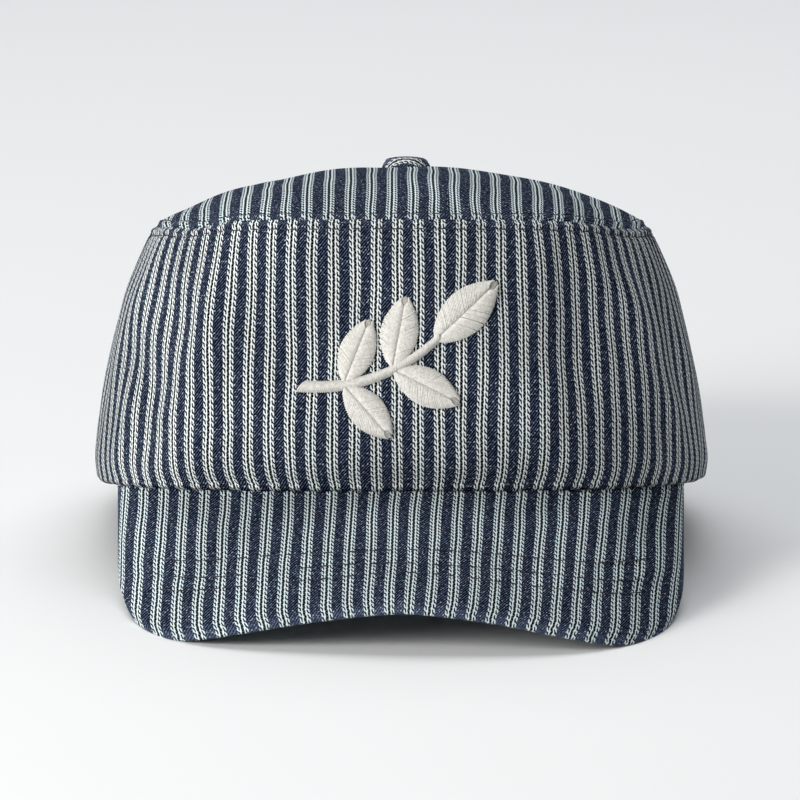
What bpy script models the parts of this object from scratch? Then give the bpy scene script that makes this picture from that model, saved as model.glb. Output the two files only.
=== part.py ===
# A pillbox work cap in striped cotton: a flat-fronted crown with a low domed top, a short sloping
# peak, a covered button, a head band and a small raised leaf sprig in the middle of the front.
# Lengths are in metres. The cap is drawn level, as it is worn: the front looks along -Y, +Z is up and
# z = 0 is the crown's lower edge. An empty then tips it back until it stands on its peak and its back edge.

import math
from collections import namedtuple

import bmesh
import bpy
import numpy as np

# Crown
crown_width = 0.1815          # across the widest part, just above the lower edge
front_reach = 0.1055          # from the widest line forward to the fullest part of the front
back_reach = 0.0950           # from the widest line back to the fullest part of the back
front_height = 0.0776         # lower edge to top seam at the front
back_height = 0.0735          # the same at the back
dome_rise = 0.0172            # how far the top panel swells above its seam
dome_fullness = 2.6           # power of the dome's curve: 2 is a parabola, more is fuller
crown_cloth = 0.0018          # outer cloth with its facing
hem_turn = 0.0050             # width of the lower edge that is turned under
back_squareness = 2.3         # power of the outline's rear half: 2 is an ellipse, more is squarer
corner_skew = 0.10            # share by which the front corner on -X is squarer and the other rounder
sewn_gap = 0.0004             # air left between two pieces that are sewn together

# Head band
band_height = 0.0300
band_thickness = 0.0015
band_lift = 0.0012            # its lower edge above the crown's lower edge
band_lean = 0.0010            # how far its upper edge leans in

# Peak
peak_width = 0.1654           # where it leaves the crown
peak_taper = 0.031            # share of the width lost over the centre line's length
peak_length = 0.0620          # along the slope on the centre line, from the crown's edge
peak_squareness = 6.6         # power of the outer edge: more has tighter corners
peak_thickness = 0.0026
peak_slope_centre = 26.3      # degrees below level from root to edge along the centre line
peak_slope_side = 32.7        # the same along the side edges
peak_slope_blend = 0.75       # power of the change between them: less starts nearer the centre
peak_bow = 3.0                # degrees by which the root's slope is less
peak_flange = 0.0034          # how far it reaches in under the crown's turned edge
peak_tuck = 0.0015            # the peak's visible root, inside the crown's lower outline
peak_edge_round = 0.0008      # bulge of the covered edge

# Covered button on top
button_diameter = 0.0140
button_height = 0.0050
button_shift = 0.0013         # off the cap's middle, towards +X
button_dimple = 0.0007        # how deep the button pulls the top panel in
button_pull = 0.0240          # radius over which it pulls
seat_margin = 0.0011          # flat cloth left round the button

# Raised sprig on the front
sprig_across = 0.0042         # its middle, along the cloth from the front centre line
sprig_up = 0.0402             # its middle above the crown's lower edge
sprig_clear = 0.0006          # its flat back off the cloth
sprig_length = 0.0620
sprig_rise = 20.0             # degrees: slant of the stem
sprig_bend = 0.0040           # sag of the stem below its chord
stem_share = 0.62             # the stem's length over the sprig's
stem_start = 0.48             # its foot's distance back from the sprig's middle, over the sprig's length
stem_width = 0.0030
stem_taper = 0.35             # share of its width lost towards the last leaf
stem_thickness = 0.0015
leaf_width_share = 0.48       # a leaf's width over its length
leaf_edge = 0.0007            # thickness of a leaf at its outline
leaf_ridge = 0.0014           # thickness of a leaf at its midrib

# How it stands
floor_settle = 0.0007         # cloth pressed flat where the cap rests

# Mesh fineness
columns = 72
peak_columns = 37
leaf_points = 8
stem_steps = 14
button_sides = 24
side_step = 0.004             # share of half the outline within which its direction is taken

# Sections of the crown's wall, from the lower edge to the top seam. height is a share of the wall's
# height, width, front and back are shares of the named sizes, square is the power of the front outline.
WallRow = namedtuple("WallRow", "height width front back square")
wall_rows = [
    WallRow(0.030, 0.996, 0.930, 0.985, 2.9),
    WallRow(0.085, 1.001, 0.962, 0.998, 2.9),
    WallRow(0.170, 0.997, 0.988, 1.000, 2.9),
    WallRow(0.300, 0.981, 1.000, 0.988, 2.9),
    WallRow(0.450, 0.959, 0.979, 0.962, 2.8),
    WallRow(0.600, 0.934, 0.949, 0.932, 2.7),
    WallRow(0.740, 0.903, 0.922, 0.898, 2.6),
    WallRow(0.860, 0.864, 0.902, 0.860, 2.5),
    WallRow(0.940, 0.834, 0.888, 0.828, 2.45),
    WallRow(1.000, 0.808, 0.872, 0.798, 2.4),
]

# The turned-under lower edge, from its inner end outwards: shares of hem_turn and of the first wall
# row's height.
HemRow = namedtuple("HemRow", "inset height")
hem_rows = [HemRow(1.00, 0.00), HemRow(0.50, 0.04), HemRow(0.16, 0.38)]

fold_fade = 0.12              # share of the wall's height over which the folds die out at the lower edge

# Soft folds in the wall. around runs from the front centre (0) to the back centre (1), negative on
# the left of the photograph; height and tall are shares of the wall; depth is in metres, outward positive.
Fold = namedtuple("Fold", "around height spread tall depth")
folds = [
    Fold(-0.185, 0.50, 0.030, 0.42, 0.0013),
    Fold(-0.245, 0.45, 0.034, 0.36, -0.0016),
    Fold(-0.330, 0.60, 0.030, 0.30, 0.0009),
    Fold(0.190, 0.52, 0.032, 0.34, -0.0012),
    Fold(0.150, 0.62, 0.028, 0.26, 0.0008),
    Fold(0.265, 0.40, 0.036, 0.36, 0.0010),
    Fold(0.350, 0.55, 0.030, 0.30, -0.0010),
    Fold(0.640, 0.45, 0.050, 0.38, -0.0014),
    Fold(-0.700, 0.50, 0.050, 0.38, -0.0012),
]

# Where the top seam dips at the front corners. around is as for the folds.
SeamDip = namedtuple("SeamDip", "around spread depth")
seam_dips = [
    SeamDip(-0.262, 0.050, 0.0018),
    SeamDip(-0.370, 0.100, 0.0013),
    SeamDip(0.350, 0.100, 0.0018),
]

# Shallow hollows in the top panel: across and along are shares of its half width and half length.
Hollow = namedtuple("Hollow", "across along spread depth")
hollows = [
    Hollow(0.52, 0.00, 0.40, 0.0012),
    Hollow(-0.48, -0.05, 0.38, 0.0016),
    Hollow(0.10, 0.66, 0.30, 0.0012),
]

# Rows of the peak, as shares of its reach from the crown to its outer edge.
peak_rows = [0.0, 0.10, 0.22, 0.36, 0.50, 0.64, 0.78, 0.90, 1.0]

# The button's outline from its seat to near its middle: shares of its radius and height.
ButtonRow = namedtuple("ButtonRow", "out up")
button_rows = [
    ButtonRow(0.86, 0.0), ButtonRow(0.97, 0.10), ButtonRow(1.0, 0.26), ButtonRow(0.97, 0.46),
    ButtonRow(0.86, 0.68), ButtonRow(0.66, 0.86), ButtonRow(0.36, 0.97),
]

# The stem's section, across in half widths and up in thicknesses.
StemRow = namedtuple("StemRow", "across up")
stem_rows = [
    StemRow(-1.0, -0.05), StemRow(1.0, -0.05), StemRow(1.0, 0.55),
    StemRow(0.45, 1.0), StemRow(-0.45, 1.0), StemRow(-1.0, 0.55),
]

# Rings of the top panel, as shares from its middle to its seam, outside the flat seat of the button.
top_rings = [1.0, 0.95, 0.87, 0.75, 0.60, 0.44, 0.30, 0.19]

# Leaves of the sprig: along is a share of the stem, turn the angle from it in degrees, length a
# share of the sprig's length.
Leaf = namedtuple("Leaf", "along turn length")
leaves = [
    Leaf(0.25, 60, 0.32),
    Leaf(0.25, -56, 0.32),
    Leaf(0.62, 54, 0.34),
    Leaf(0.62, -52, 0.34),
    Leaf(0.97, 2, 0.40),
]

Finish = namedtuple("Finish", "color roughness")
navy_stripe = Finish((0.115, 0.150, 0.215, 1.0), 0.86)
navy_plain = Finish((0.040, 0.052, 0.085, 1.0), 0.88)
cream_thread = Finish((0.830, 0.800, 0.730, 1.0), 0.70)


def smooth_column(table, key, column, at):
    """The table's column at a value of its key column, along a smooth curve through the rows."""
    keys = [getattr(row, key) for row in table]
    values = [getattr(row, column) for row in table]
    slopes = np.gradient(values, keys)
    at = min(max(at, keys[0]), keys[-1])
    i = min(max(int(np.searchsorted(keys, at)) - 1, 0), len(keys) - 2)
    step = keys[i + 1] - keys[i]
    t = (at - keys[i]) / step
    return (
        (2 * t**3 - 3 * t**2 + 1) * values[i]
        + (t**3 - 2 * t**2 + t) * step * slopes[i]
        + (3 * t**2 - 2 * t**3) * values[i + 1]
        + (t**3 - t**2) * step * slopes[i + 1]
    )


def outline(half_width, front, back, square, shares):
    """Points of a rounded outline at shares of half its length from the front centre, and half its length."""
    turn = np.linspace(-math.pi, math.pi, 1441)
    reach = np.where(np.cos(turn) >= 0, front, back)
    skewed = square * (1 - corner_skew * np.sign(np.sin(turn)))
    power = 2 / np.where(np.cos(turn) >= 0, skewed, back_squareness)
    x = half_width * np.sign(np.sin(turn)) * np.abs(np.sin(turn)) ** power
    y = -reach * np.sign(np.cos(turn)) * np.abs(np.cos(turn)) ** power
    run = np.concatenate([[0], np.cumsum(np.hypot(np.diff(x), np.diff(y)))])
    half = run[-1] / 2
    at = np.asarray(shares) * half + half
    return np.stack([np.interp(at, run, x), np.interp(at, run, y)], axis=-1), half


def around_shares():
    """Evenly spaced columns: from the front centre to the right, round the back and up the left."""
    shares = np.arange(columns) * 2 / columns
    return np.where(shares > 1, shares - 2, shares)


def wall_height(y):
    return front_height + (back_height - front_height) * (y + front_reach) / (front_reach + back_reach)


def around_gap(around, other):
    """How far apart two places round the crown are, the shorter way."""
    apart = np.abs(np.asarray(around) - other)
    return np.minimum(apart, 2 - apart)


def seam_dip(around):
    """How far the top seam dips there."""
    return sum(dip.depth * np.exp(-(around_gap(around, dip.around) / dip.spread) ** 2) for dip in seam_dips)


def fold_depth(around, height):
    """How far the folds push the wall out there."""
    total = sum(
        fold.depth * np.exp(
            -(around_gap(around, fold.around) / fold.spread) ** 2
            - ((height - fold.height) / fold.tall) ** 2
        )
        for fold in folds
    )
    return total * min(1.0, max(0.0, (height - wall_rows[0].height) / fold_fade))


def wall_outline(height, shares, inset=0.0):
    """Plan points of the crown's wall at a share of its height, taken in by inset, and half their run."""
    row = {c: smooth_column(wall_rows, "height", c, height) for c in ("width", "front", "back", "square")}
    return outline(
        row["width"] * crown_width / 2 - inset,
        row["front"] * front_reach - inset,
        row["back"] * back_reach - inset,
        row["square"],
        shares,
    )


def wall_points(height, shares):
    """Points of the crown's outside at a share of its height, folds and all."""
    shares = np.asarray(shares, dtype=float)
    flat, _ = wall_outline(height, shares)
    ahead, _ = wall_outline(height, shares + side_step)
    behind, _ = wall_outline(height, shares - side_step)
    along = ahead - behind
    along /= np.linalg.norm(along, axis=-1, keepdims=True)
    outward = np.stack([along[..., 1], -along[..., 0]], axis=-1)
    flat = flat + outward * fold_depth(shares, height)[..., None]
    z = height * wall_height(flat[..., 1]) - height**4 * seam_dip(shares)
    return np.concatenate([flat, z[..., None]], axis=-1)


def hem_points(row, shares):
    """Points of the turned-under lower edge."""
    first = wall_rows[0]
    flat, _ = wall_outline(first.height, shares, row.inset * hem_turn)
    z = row.height * first.height * wall_height(flat[:, 1])
    return np.concatenate([flat, z[:, None]], axis=-1)


def grid_normals(grid, closed=True):
    """Outward normals of a grid of rows by columns."""
    if closed:
        across = np.roll(grid, -1, axis=1) - np.roll(grid, 1, axis=1)
    else:
        across = np.gradient(grid, axis=1)
    up = np.gradient(grid, axis=0)
    normals = np.cross(across, up)
    return normals / np.linalg.norm(normals, axis=-1, keepdims=True)


def unit(vectors):
    return vectors / np.linalg.norm(vectors, axis=-1, keepdims=True)


def crown_grid():
    """Outside of the crown's wall: hem rows, then wall rows up to the top seam."""
    shares = around_shares()
    rows = [hem_points(row, shares) for row in hem_rows]
    rows += [wall_points(row.height, shares) for row in wall_rows]
    return np.array(rows)


def dome_height(x, y, ring):
    """Height of the top panel's outside at a place that is a share ring of the way out to its seam."""
    centre = top_centre()
    from_centre = np.hypot(x - centre[0], y - centre[1])
    pull = np.where(
        from_centre < button_pull, 0.5 + 0.5 * np.cos(math.pi * from_centre / button_pull), 0.0
    )
    z = wall_height(y) + dome_rise * (1 - ring**dome_fullness) - button_dimple * pull
    half_width = wall_rows[-1].width * crown_width / 2
    half_length = (wall_rows[-1].front * front_reach + wall_rows[-1].back * back_reach) / 2
    for hollow in hollows:
        apart = np.hypot(
            x / half_width - hollow.across, (y - centre[1]) / half_length - hollow.along
        )
        z = z - hollow.depth * np.exp(-(apart / hollow.spread) ** 2) * (1 - ring**4)
    return z


def top_centre():
    top = wall_rows[-1]
    return np.array([button_shift, (top.back * back_reach - top.front * front_reach) / 2])


def seat_radius():
    return button_diameter / 2 + seat_margin


def seat_height():
    """Height of the flat seat under the button."""
    centre = top_centre()
    ring = seat_radius() / (wall_rows[-1].width * crown_width / 2)
    return float(dome_height(centre[0] + seat_radius(), centre[1], ring))


def top_grid():
    """Outside of the top panel, rings from the seam to the button's seat."""
    rim = wall_points(1.0, around_shares())
    centre = top_centre()
    rings = []
    for share in top_rings:
        flat = centre + (rim[:, :2] - centre) * share
        z = dome_height(flat[:, 0], flat[:, 1], share) - share**4 * seam_dip(around_shares())
        rings.append(np.concatenate([flat, np.asarray(z)[:, None]], axis=-1))
    seat = centre + unit(rim[:, :2] - centre) * seat_radius()
    rings.append(np.concatenate([seat, np.full((columns, 1), seat_height())], axis=-1))
    return np.array(rings)


def ring_solid(rows):
    """A closed ring: rows run round its section, each row once round the cap."""
    mesh = bmesh.new()
    verts = [[mesh.verts.new(p) for p in row] for row in rows]
    count = len(verts)
    for r in range(count):
        lower, upper = verts[r], verts[(r + 1) % count]
        for c in range(columns):
            n = (c + 1) % columns
            mesh.faces.new((lower[c], lower[n], upper[n], upper[c]))
    return mesh


def new_object(name, mesh, finish, parent):
    """Links a bmesh as an object with its own material."""
    data = bpy.data.meshes.new(name)
    mesh.to_mesh(data)
    mesh.free()
    data.shade_smooth()
    data.set_sharp_from_angle(angle=math.radians(40))
    material = bpy.data.materials.new(name)
    material.use_nodes = True
    shader = material.node_tree.nodes["Principled BSDF"]
    shader.inputs["Base Color"].default_value = finish.color
    shader.inputs["Roughness"].default_value = finish.roughness
    shader.inputs["Metallic"].default_value = 0.0
    data.materials.append(material)
    made = bpy.data.objects.new(name, data)
    made.parent = parent
    bpy.context.scene.collection.objects.link(made)
    return made


def seam_mitre(wall, top):
    """Direction and length of the sewn edge's thickness, shared by the wall and the top panel."""
    wall_normal = grid_normals(wall)[-1]
    top_normal = grid_normals(top)[0]
    middle = unit(wall_normal + top_normal)
    length = crown_cloth / np.sum(middle * wall_normal, axis=-1, keepdims=True)
    return middle * length


def crown_side(parent):
    wall, top = crown_grid(), top_grid()
    inward = -grid_normals(wall) * crown_cloth
    inward[-1] = -seam_mitre(wall, top)
    wall[-1] -= unit(wall[-1] - wall[-2]) * sewn_gap / 2
    inner = wall + inward
    return new_object("crown_side", ring_solid([*wall, *inner[::-1]]), navy_stripe, parent)


def top_panel(parent):
    wall, top = crown_grid(), top_grid()
    inward = -grid_normals(top) * crown_cloth
    inward[0] = -seam_mitre(wall, top)
    inward[-1] = (0, 0, -crown_cloth)
    top[0] += unit(top[1] - top[0]) * sewn_gap / 2
    inner = top + inward
    mesh = bmesh.new()
    rows = [*inner[::-1], *top]
    verts = [[mesh.verts.new(p) for p in row] for row in rows]
    for lower, upper in zip(verts, verts[1:]):
        for c in range(columns):
            n = (c + 1) % columns
            mesh.faces.new((lower[c], lower[n], upper[n], upper[c]))
    mesh.faces.new(verts[-1])
    mesh.faces.new(verts[0][::-1])
    bmesh.ops.recalc_face_normals(mesh, faces=mesh.faces)
    return new_object("top_panel", mesh, navy_stripe, parent)


def head_band(parent):
    shares = around_shares()
    first = wall_rows[0].height
    rows = []
    for across, up in ((0, 0), (0, 0.5), (0, 1), (1, 1), (1, 0.5), (1, 0)):
        inset = hem_turn + sewn_gap + across * band_thickness + up * band_lean
        flat, _ = wall_outline(first, shares, inset)
        z = np.full((columns, 1), band_lift + up * band_height)
        rows.append(np.concatenate([flat, z], axis=-1))
    return new_object("head_band", ring_solid(rows), navy_plain, parent)


def peak_root(x, inset):
    """The point of the crown's lower outline, taken in by inset, that lies at x on its front half."""
    first = wall_rows[0]
    half_width = first.width * crown_width / 2 - inset
    front = first.front * front_reach - inset
    square = first.square * (1 - corner_skew * np.sign(x))
    share = np.clip(1 - np.abs(x / half_width) ** square, 0, 1)
    return np.stack([x, -front * share ** (1 / square)], axis=-1)


def peak_grid():
    """Outside of the peak: rows from under the crown to its outer edge, columns from left to right."""
    share = np.sin(np.radians(np.linspace(-90, 90, peak_columns)))
    half = peak_width / 2
    x = share * half
    root = peak_root(x, peak_tuck)
    blend = (1 - np.cos(math.pi * np.abs(share) ** peak_slope_blend)) / 2
    slope = np.radians(peak_slope_centre + (peak_slope_side - peak_slope_centre) * blend)
    square = peak_squareness * (1 - corner_skew * np.sign(share))
    setback = root[:, 1] - root[len(x) // 2, 1]
    reach = peak_length * np.sqrt(1 - np.abs(share) ** square) + setback * np.cos(slope)
    bow = math.radians(peak_bow)
    flange = peak_root(x * (1 - (peak_tuck + peak_flange) / half), peak_tuck + peak_flange)
    rows = [np.concatenate([flange, np.full((len(x), 1), -sewn_gap)], axis=-1)]
    for along in peak_rows:
        run = reach * along
        tilt = slope + bow * (along - 1)
        y = root[:, 1] - run * np.cos(tilt)
        z = -sewn_gap - run * np.sin(tilt)
        rows.append(np.stack([x * (1 - peak_taper * run / peak_length), y, z], axis=-1))
    return np.array(rows)


def peak(parent):
    upper = peak_grid()
    normals = grid_normals(upper[::-1], closed=False)[::-1]
    normals[0] = normals[1] = unit(normals[1] + np.array([0, 0, 1]))
    lower = upper - normals * peak_thickness
    mesh = bmesh.new()
    rows, cols = upper.shape[:2]
    top = [[mesh.verts.new(p) for p in row] for row in upper]
    under = [[mesh.verts.new(p) for p in row] for row in lower]
    for r in range(rows - 1):
        for c in range(cols - 1):
            mesh.faces.new((top[r + 1][c], top[r + 1][c + 1], top[r][c + 1], top[r][c]))
            mesh.faces.new((under[r][c], under[r][c + 1], under[r + 1][c + 1], under[r + 1][c]))
    border = [(0, c) for c in range(cols)] + [(r, cols - 1) for r in range(1, rows)]
    border += [(rows - 1, c) for c in range(cols - 2, -1, -1)] + [(r, 0) for r in range(rows - 2, 0, -1)]
    inside = [(min(max(r, 1), rows - 2), min(max(c, 1), cols - 2)) for r, c in border]
    middle = []
    for (r, c), (ri, ci) in zip(border, inside):
        away = unit(upper[r, c] - upper[ri, ci])
        round_out = 0.0 if r == 0 else peak_edge_round
        middle.append(mesh.verts.new((upper[r, c] + lower[r, c]) / 2 + away * round_out))
    for i, (r, c) in enumerate(border):
        j = (i + 1) % len(border)
        rn, cn = border[j]
        mesh.faces.new((top[r][c], top[rn][cn], middle[j], middle[i]))
        mesh.faces.new((middle[i], middle[j], under[rn][cn], under[r][c]))
    bmesh.ops.recalc_face_normals(mesh, faces=mesh.faces)
    return new_object("peak", mesh, navy_stripe, parent)


def top_button(parent):
    """A cloth-covered button: a turned dome with a rolled rim."""
    radius = button_diameter / 2
    centre = top_centre()
    base = seat_height() + sewn_gap
    mesh = bmesh.new()
    rings = []
    for out, up in button_rows:
        ring = []
        for i in range(button_sides):
            angle = 2 * math.pi * i / button_sides
            x = centre[0] + radius * out * math.cos(angle)
            y = centre[1] + radius * out * math.sin(angle)
            ring.append(mesh.verts.new((x, y, base + up * button_height)))
        rings.append(ring)
    for lower, upper in zip(rings, rings[1:]):
        for i in range(button_sides):
            n = (i + 1) % button_sides
            mesh.faces.new((lower[i], lower[n], upper[n], upper[i]))
    crest = mesh.verts.new((centre[0], centre[1], base + button_height))
    for i in range(button_sides):
        mesh.faces.new((rings[-1][i], rings[-1][(i + 1) % button_sides], crest))
    mesh.faces.new(rings[0][::-1])
    return new_object("top_button", mesh, navy_stripe, parent)


def stem_point(share):
    """Centre line of the stem in the sprig's own plane, and its direction."""
    run = sprig_length * (stem_share * share - stem_start)
    sag = -sprig_bend * (1 - (2 * share - 1) ** 2)
    tilt = math.atan2(sprig_bend * 4 * (2 * share - 1), sprig_length * stem_share)
    slant = math.radians(sprig_rise)
    point = (
        run * math.cos(slant) - sag * math.sin(slant),
        run * math.sin(slant) + sag * math.cos(slant),
    )
    return point, slant + tilt


def leaf_mesh(leaf):
    """One almond leaf with a raised midrib, flat in the sprig's plane."""
    (x, y), heading = stem_point(leaf.along)
    heading += math.radians(leaf.turn)
    length = leaf.length * sprig_length
    mesh = bmesh.new()

    def place(along, across, up):
        return mesh.verts.new((
            x + along * math.cos(heading) - across * math.sin(heading),
            y + along * math.sin(heading) + across * math.cos(heading),
            up,
        ))

    shares = [0.5 - 0.5 * math.cos(math.pi * i / leaf_points) for i in range(leaf_points + 1)]
    half = [leaf_width_share * length / 2 * math.sin(math.pi * s) ** 0.8 for s in shares]
    ends = [(place(shares[i] * length, 0, 0), place(shares[i] * length, 0, leaf_edge)) for i in (0, -1)]
    low, edge, ridge, keel = {1: [], -1: []}, {1: [], -1: []}, [], []
    for s, h in list(zip(shares, half))[1:-1]:
        ridge.append(place(s * length, 0, leaf_ridge))
        keel.append(place(s * length, 0, 0))
        for side in (1, -1):
            low[side].append(place(s * length, side * h, 0))
            edge[side].append(place(s * length, side * h, leaf_edge))
    for side in (1, -1):
        under = [ends[0][0], *low[side], ends[1][0]]
        rim = [ends[0][1], *edge[side], ends[1][1]]
        spine = [ends[0][1], *ridge, ends[1][1]]
        middle = [ends[0][0], *keel, ends[1][0]]
        for i in range(leaf_points):
            mesh.faces.new((under[i], under[i + 1], rim[i + 1], rim[i]))
            for outer, inner in ((rim, spine), (under, middle)):
                corners = dict.fromkeys((outer[i], outer[i + 1], inner[i + 1], inner[i]))
                mesh.faces.new(tuple(corners))
    bmesh.ops.recalc_face_normals(mesh, faces=mesh.faces)
    return mesh


def stem_mesh():
    """The sprig's stem, a strip with a rounded back, a little proud of the leaves' feet."""
    mesh = bmesh.new()
    rings = []
    for i in range(stem_steps + 1):
        share = i / stem_steps
        (x, y), heading = stem_point(share)
        width = stem_width / 2 * (1 - stem_taper * share)
        ring = []
        for across, up in stem_rows:
            px = x - across * width * math.sin(heading)
            py = y + across * width * math.cos(heading)
            ring.append(mesh.verts.new((px, py, up * stem_thickness)))
        rings.append(ring)
    for lower, upper in zip(rings, rings[1:]):
        for i in range(len(stem_rows)):
            n = (i + 1) % len(stem_rows)
            mesh.faces.new((lower[i], lower[n], upper[n], upper[i]))
    mesh.faces.new(rings[0][::-1])
    mesh.faces.new(rings[-1])
    bmesh.ops.recalc_face_normals(mesh, faces=mesh.faces)
    return mesh


def lay_on_front(data):
    """Bends a flat mesh onto the front of the crown, its plane a sewn gap off the cloth."""
    for vertex in data.vertices:
        across, up, off = vertex.co
        height = (sprig_up + up) / front_height
        _, half = wall_outline(height, [0.0])
        share = (sprig_across + across) / half
        near = wall_points(height, [share - side_step, share, share + side_step])
        above = wall_points(height + side_step, [share])[0]
        normal = np.cross(near[2] - near[0], above - near[1])
        vertex.co = near[1] + unit(normal) * (off + sprig_clear)
    data.update()


def front_sprig(parent):
    """The stem and its leaves joined into one raised piece."""
    whole = new_object("front_sprig", stem_mesh(), cream_thread, parent)
    cutters = []
    for i, leaf in enumerate(leaves):
        piece = new_object(f"leaf_{i + 1}", leaf_mesh(leaf), cream_thread, parent)
        piece.hide_render = True
        piece.display_type = "WIRE"
        cutters.append(piece)
        join = whole.modifiers.new(piece.name, "BOOLEAN")
        join.operation = "UNION"
        join.solver = "EXACT"
        join.object = piece
    bpy.context.view_layer.update()
    graph = bpy.context.evaluated_depsgraph_get()
    joined = bpy.data.meshes.new_from_object(whole.evaluated_get(graph))
    whole.modifiers.clear()
    whole.data = joined
    for piece in cutters:
        bpy.data.objects.remove(piece)
    lay_on_front(joined)
    return whole


def points_of(piece):
    flat = np.empty(len(piece.data.vertices) * 3)
    piece.data.vertices.foreach_get("co", flat)
    return flat.reshape(-1, 3)


def floor_up(tilt, roll):
    """The floor's upward direction as the cap sees it, tipped back by tilt and then rolled over by roll."""
    return np.array([-math.sin(roll), -math.sin(tilt) * math.cos(roll), math.cos(tilt) * math.cos(roll)])


def lowest(points, tilt, roll):
    return (points @ floor_up(tilt, roll)).min()


def resting_angles(pieces):
    """Tilt and roll, in radians, that stand both ends of the peak and the crown's back edge on one floor."""
    peak_points = points_of(pieces["peak"])
    crown_points = points_of(pieces["crown_side"])
    left, right = peak_points[peak_points[:, 0] < 0], peak_points[peak_points[:, 0] > 0]
    roll_low, roll_high = math.radians(-3), math.radians(3)
    for _ in range(30):
        roll = (roll_low + roll_high) / 2
        low, high = 0.0, math.radians(25)
        for _ in range(40):
            tilt = (low + high) / 2
            if lowest(peak_points, tilt, roll) < lowest(crown_points, tilt, roll):
                low = tilt
            else:
                high = tilt
        if lowest(left, tilt, roll) > lowest(right, tilt, roll):
            roll_high = roll
        else:
            roll_low = roll
    return tilt, roll


def press_on_floor(piece, up, floor):
    """Moves what lies under the floor straight up onto it."""
    points = points_of(piece)
    under = np.minimum(points @ up - floor, 0.0)
    piece.data.vertices.foreach_set("co", (points - under[:, None] * up).ravel())
    piece.data.update()


def stand_up(pieces, cap):
    """Tips the cap onto its peak and its back edge, with the origin under the middle of its box."""
    tilt, roll = resting_angles(pieces)
    up = floor_up(tilt, roll)
    floor = min(lowest(points_of(p), tilt, roll) for p in pieces.values()) + floor_settle
    for piece in pieces.values():
        press_on_floor(piece, up, floor)
    cap.rotation_euler = (-tilt, roll, 0.0)
    turn = np.array(cap.rotation_euler.to_matrix())
    every = np.concatenate([points_of(p) for p in pieces.values()]) @ turn.T
    middle = (every.min(axis=0) + every.max(axis=0)) / 2
    cap.location = (-middle[0], -middle[1], -floor)
    print(f"tilt {math.degrees(tilt):.4f}, roll {math.degrees(roll):.4f}, moved {[round(v, 6) for v in cap.location]}")


def main():
    for old in list(bpy.data.objects):
        bpy.data.objects.remove(old)
    cap = bpy.data.objects.new("cap_at_rest", None)
    bpy.context.scene.collection.objects.link(cap)
    makers = (crown_side, top_panel, head_band, peak, top_button, front_sprig)
    pieces = {made.name: made for made in (make(cap) for make in makers)}
    stand_up(pieces, cap)


main()
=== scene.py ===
import math

import bpy
import numpy as np
from mathutils import Matrix, Vector


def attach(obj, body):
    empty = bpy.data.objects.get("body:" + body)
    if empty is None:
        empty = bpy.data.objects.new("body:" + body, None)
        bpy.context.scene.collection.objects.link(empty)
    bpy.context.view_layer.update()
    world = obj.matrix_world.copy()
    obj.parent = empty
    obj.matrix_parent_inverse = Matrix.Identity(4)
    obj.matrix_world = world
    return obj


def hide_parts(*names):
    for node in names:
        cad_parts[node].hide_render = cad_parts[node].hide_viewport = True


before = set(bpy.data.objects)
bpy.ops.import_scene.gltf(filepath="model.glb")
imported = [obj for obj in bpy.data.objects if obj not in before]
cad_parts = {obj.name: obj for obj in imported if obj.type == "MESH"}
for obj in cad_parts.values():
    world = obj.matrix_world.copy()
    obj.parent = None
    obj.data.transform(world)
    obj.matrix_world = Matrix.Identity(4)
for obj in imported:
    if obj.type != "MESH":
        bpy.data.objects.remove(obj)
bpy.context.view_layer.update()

# The cap is worked out level, as worn: front along -Y, z = 0 at the crown's lower edge, in metres.
# Every finished mesh is then turned into its resting pose, where +Z is up from the floor.
restPose = {"tilt": 9.8565, "roll": -1.0868, "moved": (0.00013, 0.0294, 0.014968)}

capTurn = np.array(
    Matrix.Rotation(math.radians(restPose["roll"]), 3, "Y")
    @ Matrix.Rotation(-math.radians(restPose["tilt"]), 3, "X")
)


def toRest(points):
    turned = np.asarray(points, dtype=float) @ capTurn.T + np.array(restPose["moved"])
    turned[..., 2] = np.maximum(turned[..., 2], 0.0)      # cloth pressed flat on the floor
    return turned


def unit(vectors):
    return vectors / np.maximum(np.linalg.norm(vectors, axis=-1, keepdims=True), 1e-12)


def bell(off, width):
    # 1 where off is 0, and next to nothing three widths away
    return np.exp(-(off / width) ** 2)


def gridNormals(grid, closed=True):
    across = np.roll(grid, -1, axis=1) - np.roll(grid, 1, axis=1) if closed else np.gradient(grid, axis=1)
    return unit(np.cross(across, np.gradient(grid, axis=0)))


def facing(normals, axis, sign=1):
    # turned round together where most of them point the wrong way
    return normals if sign * normals[..., axis].mean() >= 0 else -normals


def gridFaces(rows, columns, closeRows, closeColumns, start=0):
    # corner indices of each face, and the same corners as (row, column) on an unwrapped grid
    r, c = np.meshgrid(
        np.arange(rows if closeRows else rows - 1),
        np.arange(columns if closeColumns else columns - 1), indexing="ij",
    )
    corners = [(r, c), (r, c + 1), (r + 1, c + 1), (r + 1, c)]
    faces = np.stack([(a % rows) * columns + b % columns for a, b in corners], axis=-1).reshape(-1, 4) + start
    spots = np.stack([np.stack([a, b], axis=-1) for a, b in corners], axis=-2).reshape(-1, 4, 2)
    return faces, spots


def signedVolume(points, faces):
    a, b, c, d = (points[faces[:, i]] for i in range(4))
    return float(np.sum(a * np.cross(b, c)) + np.sum(a * np.cross(c, d)))


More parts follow.
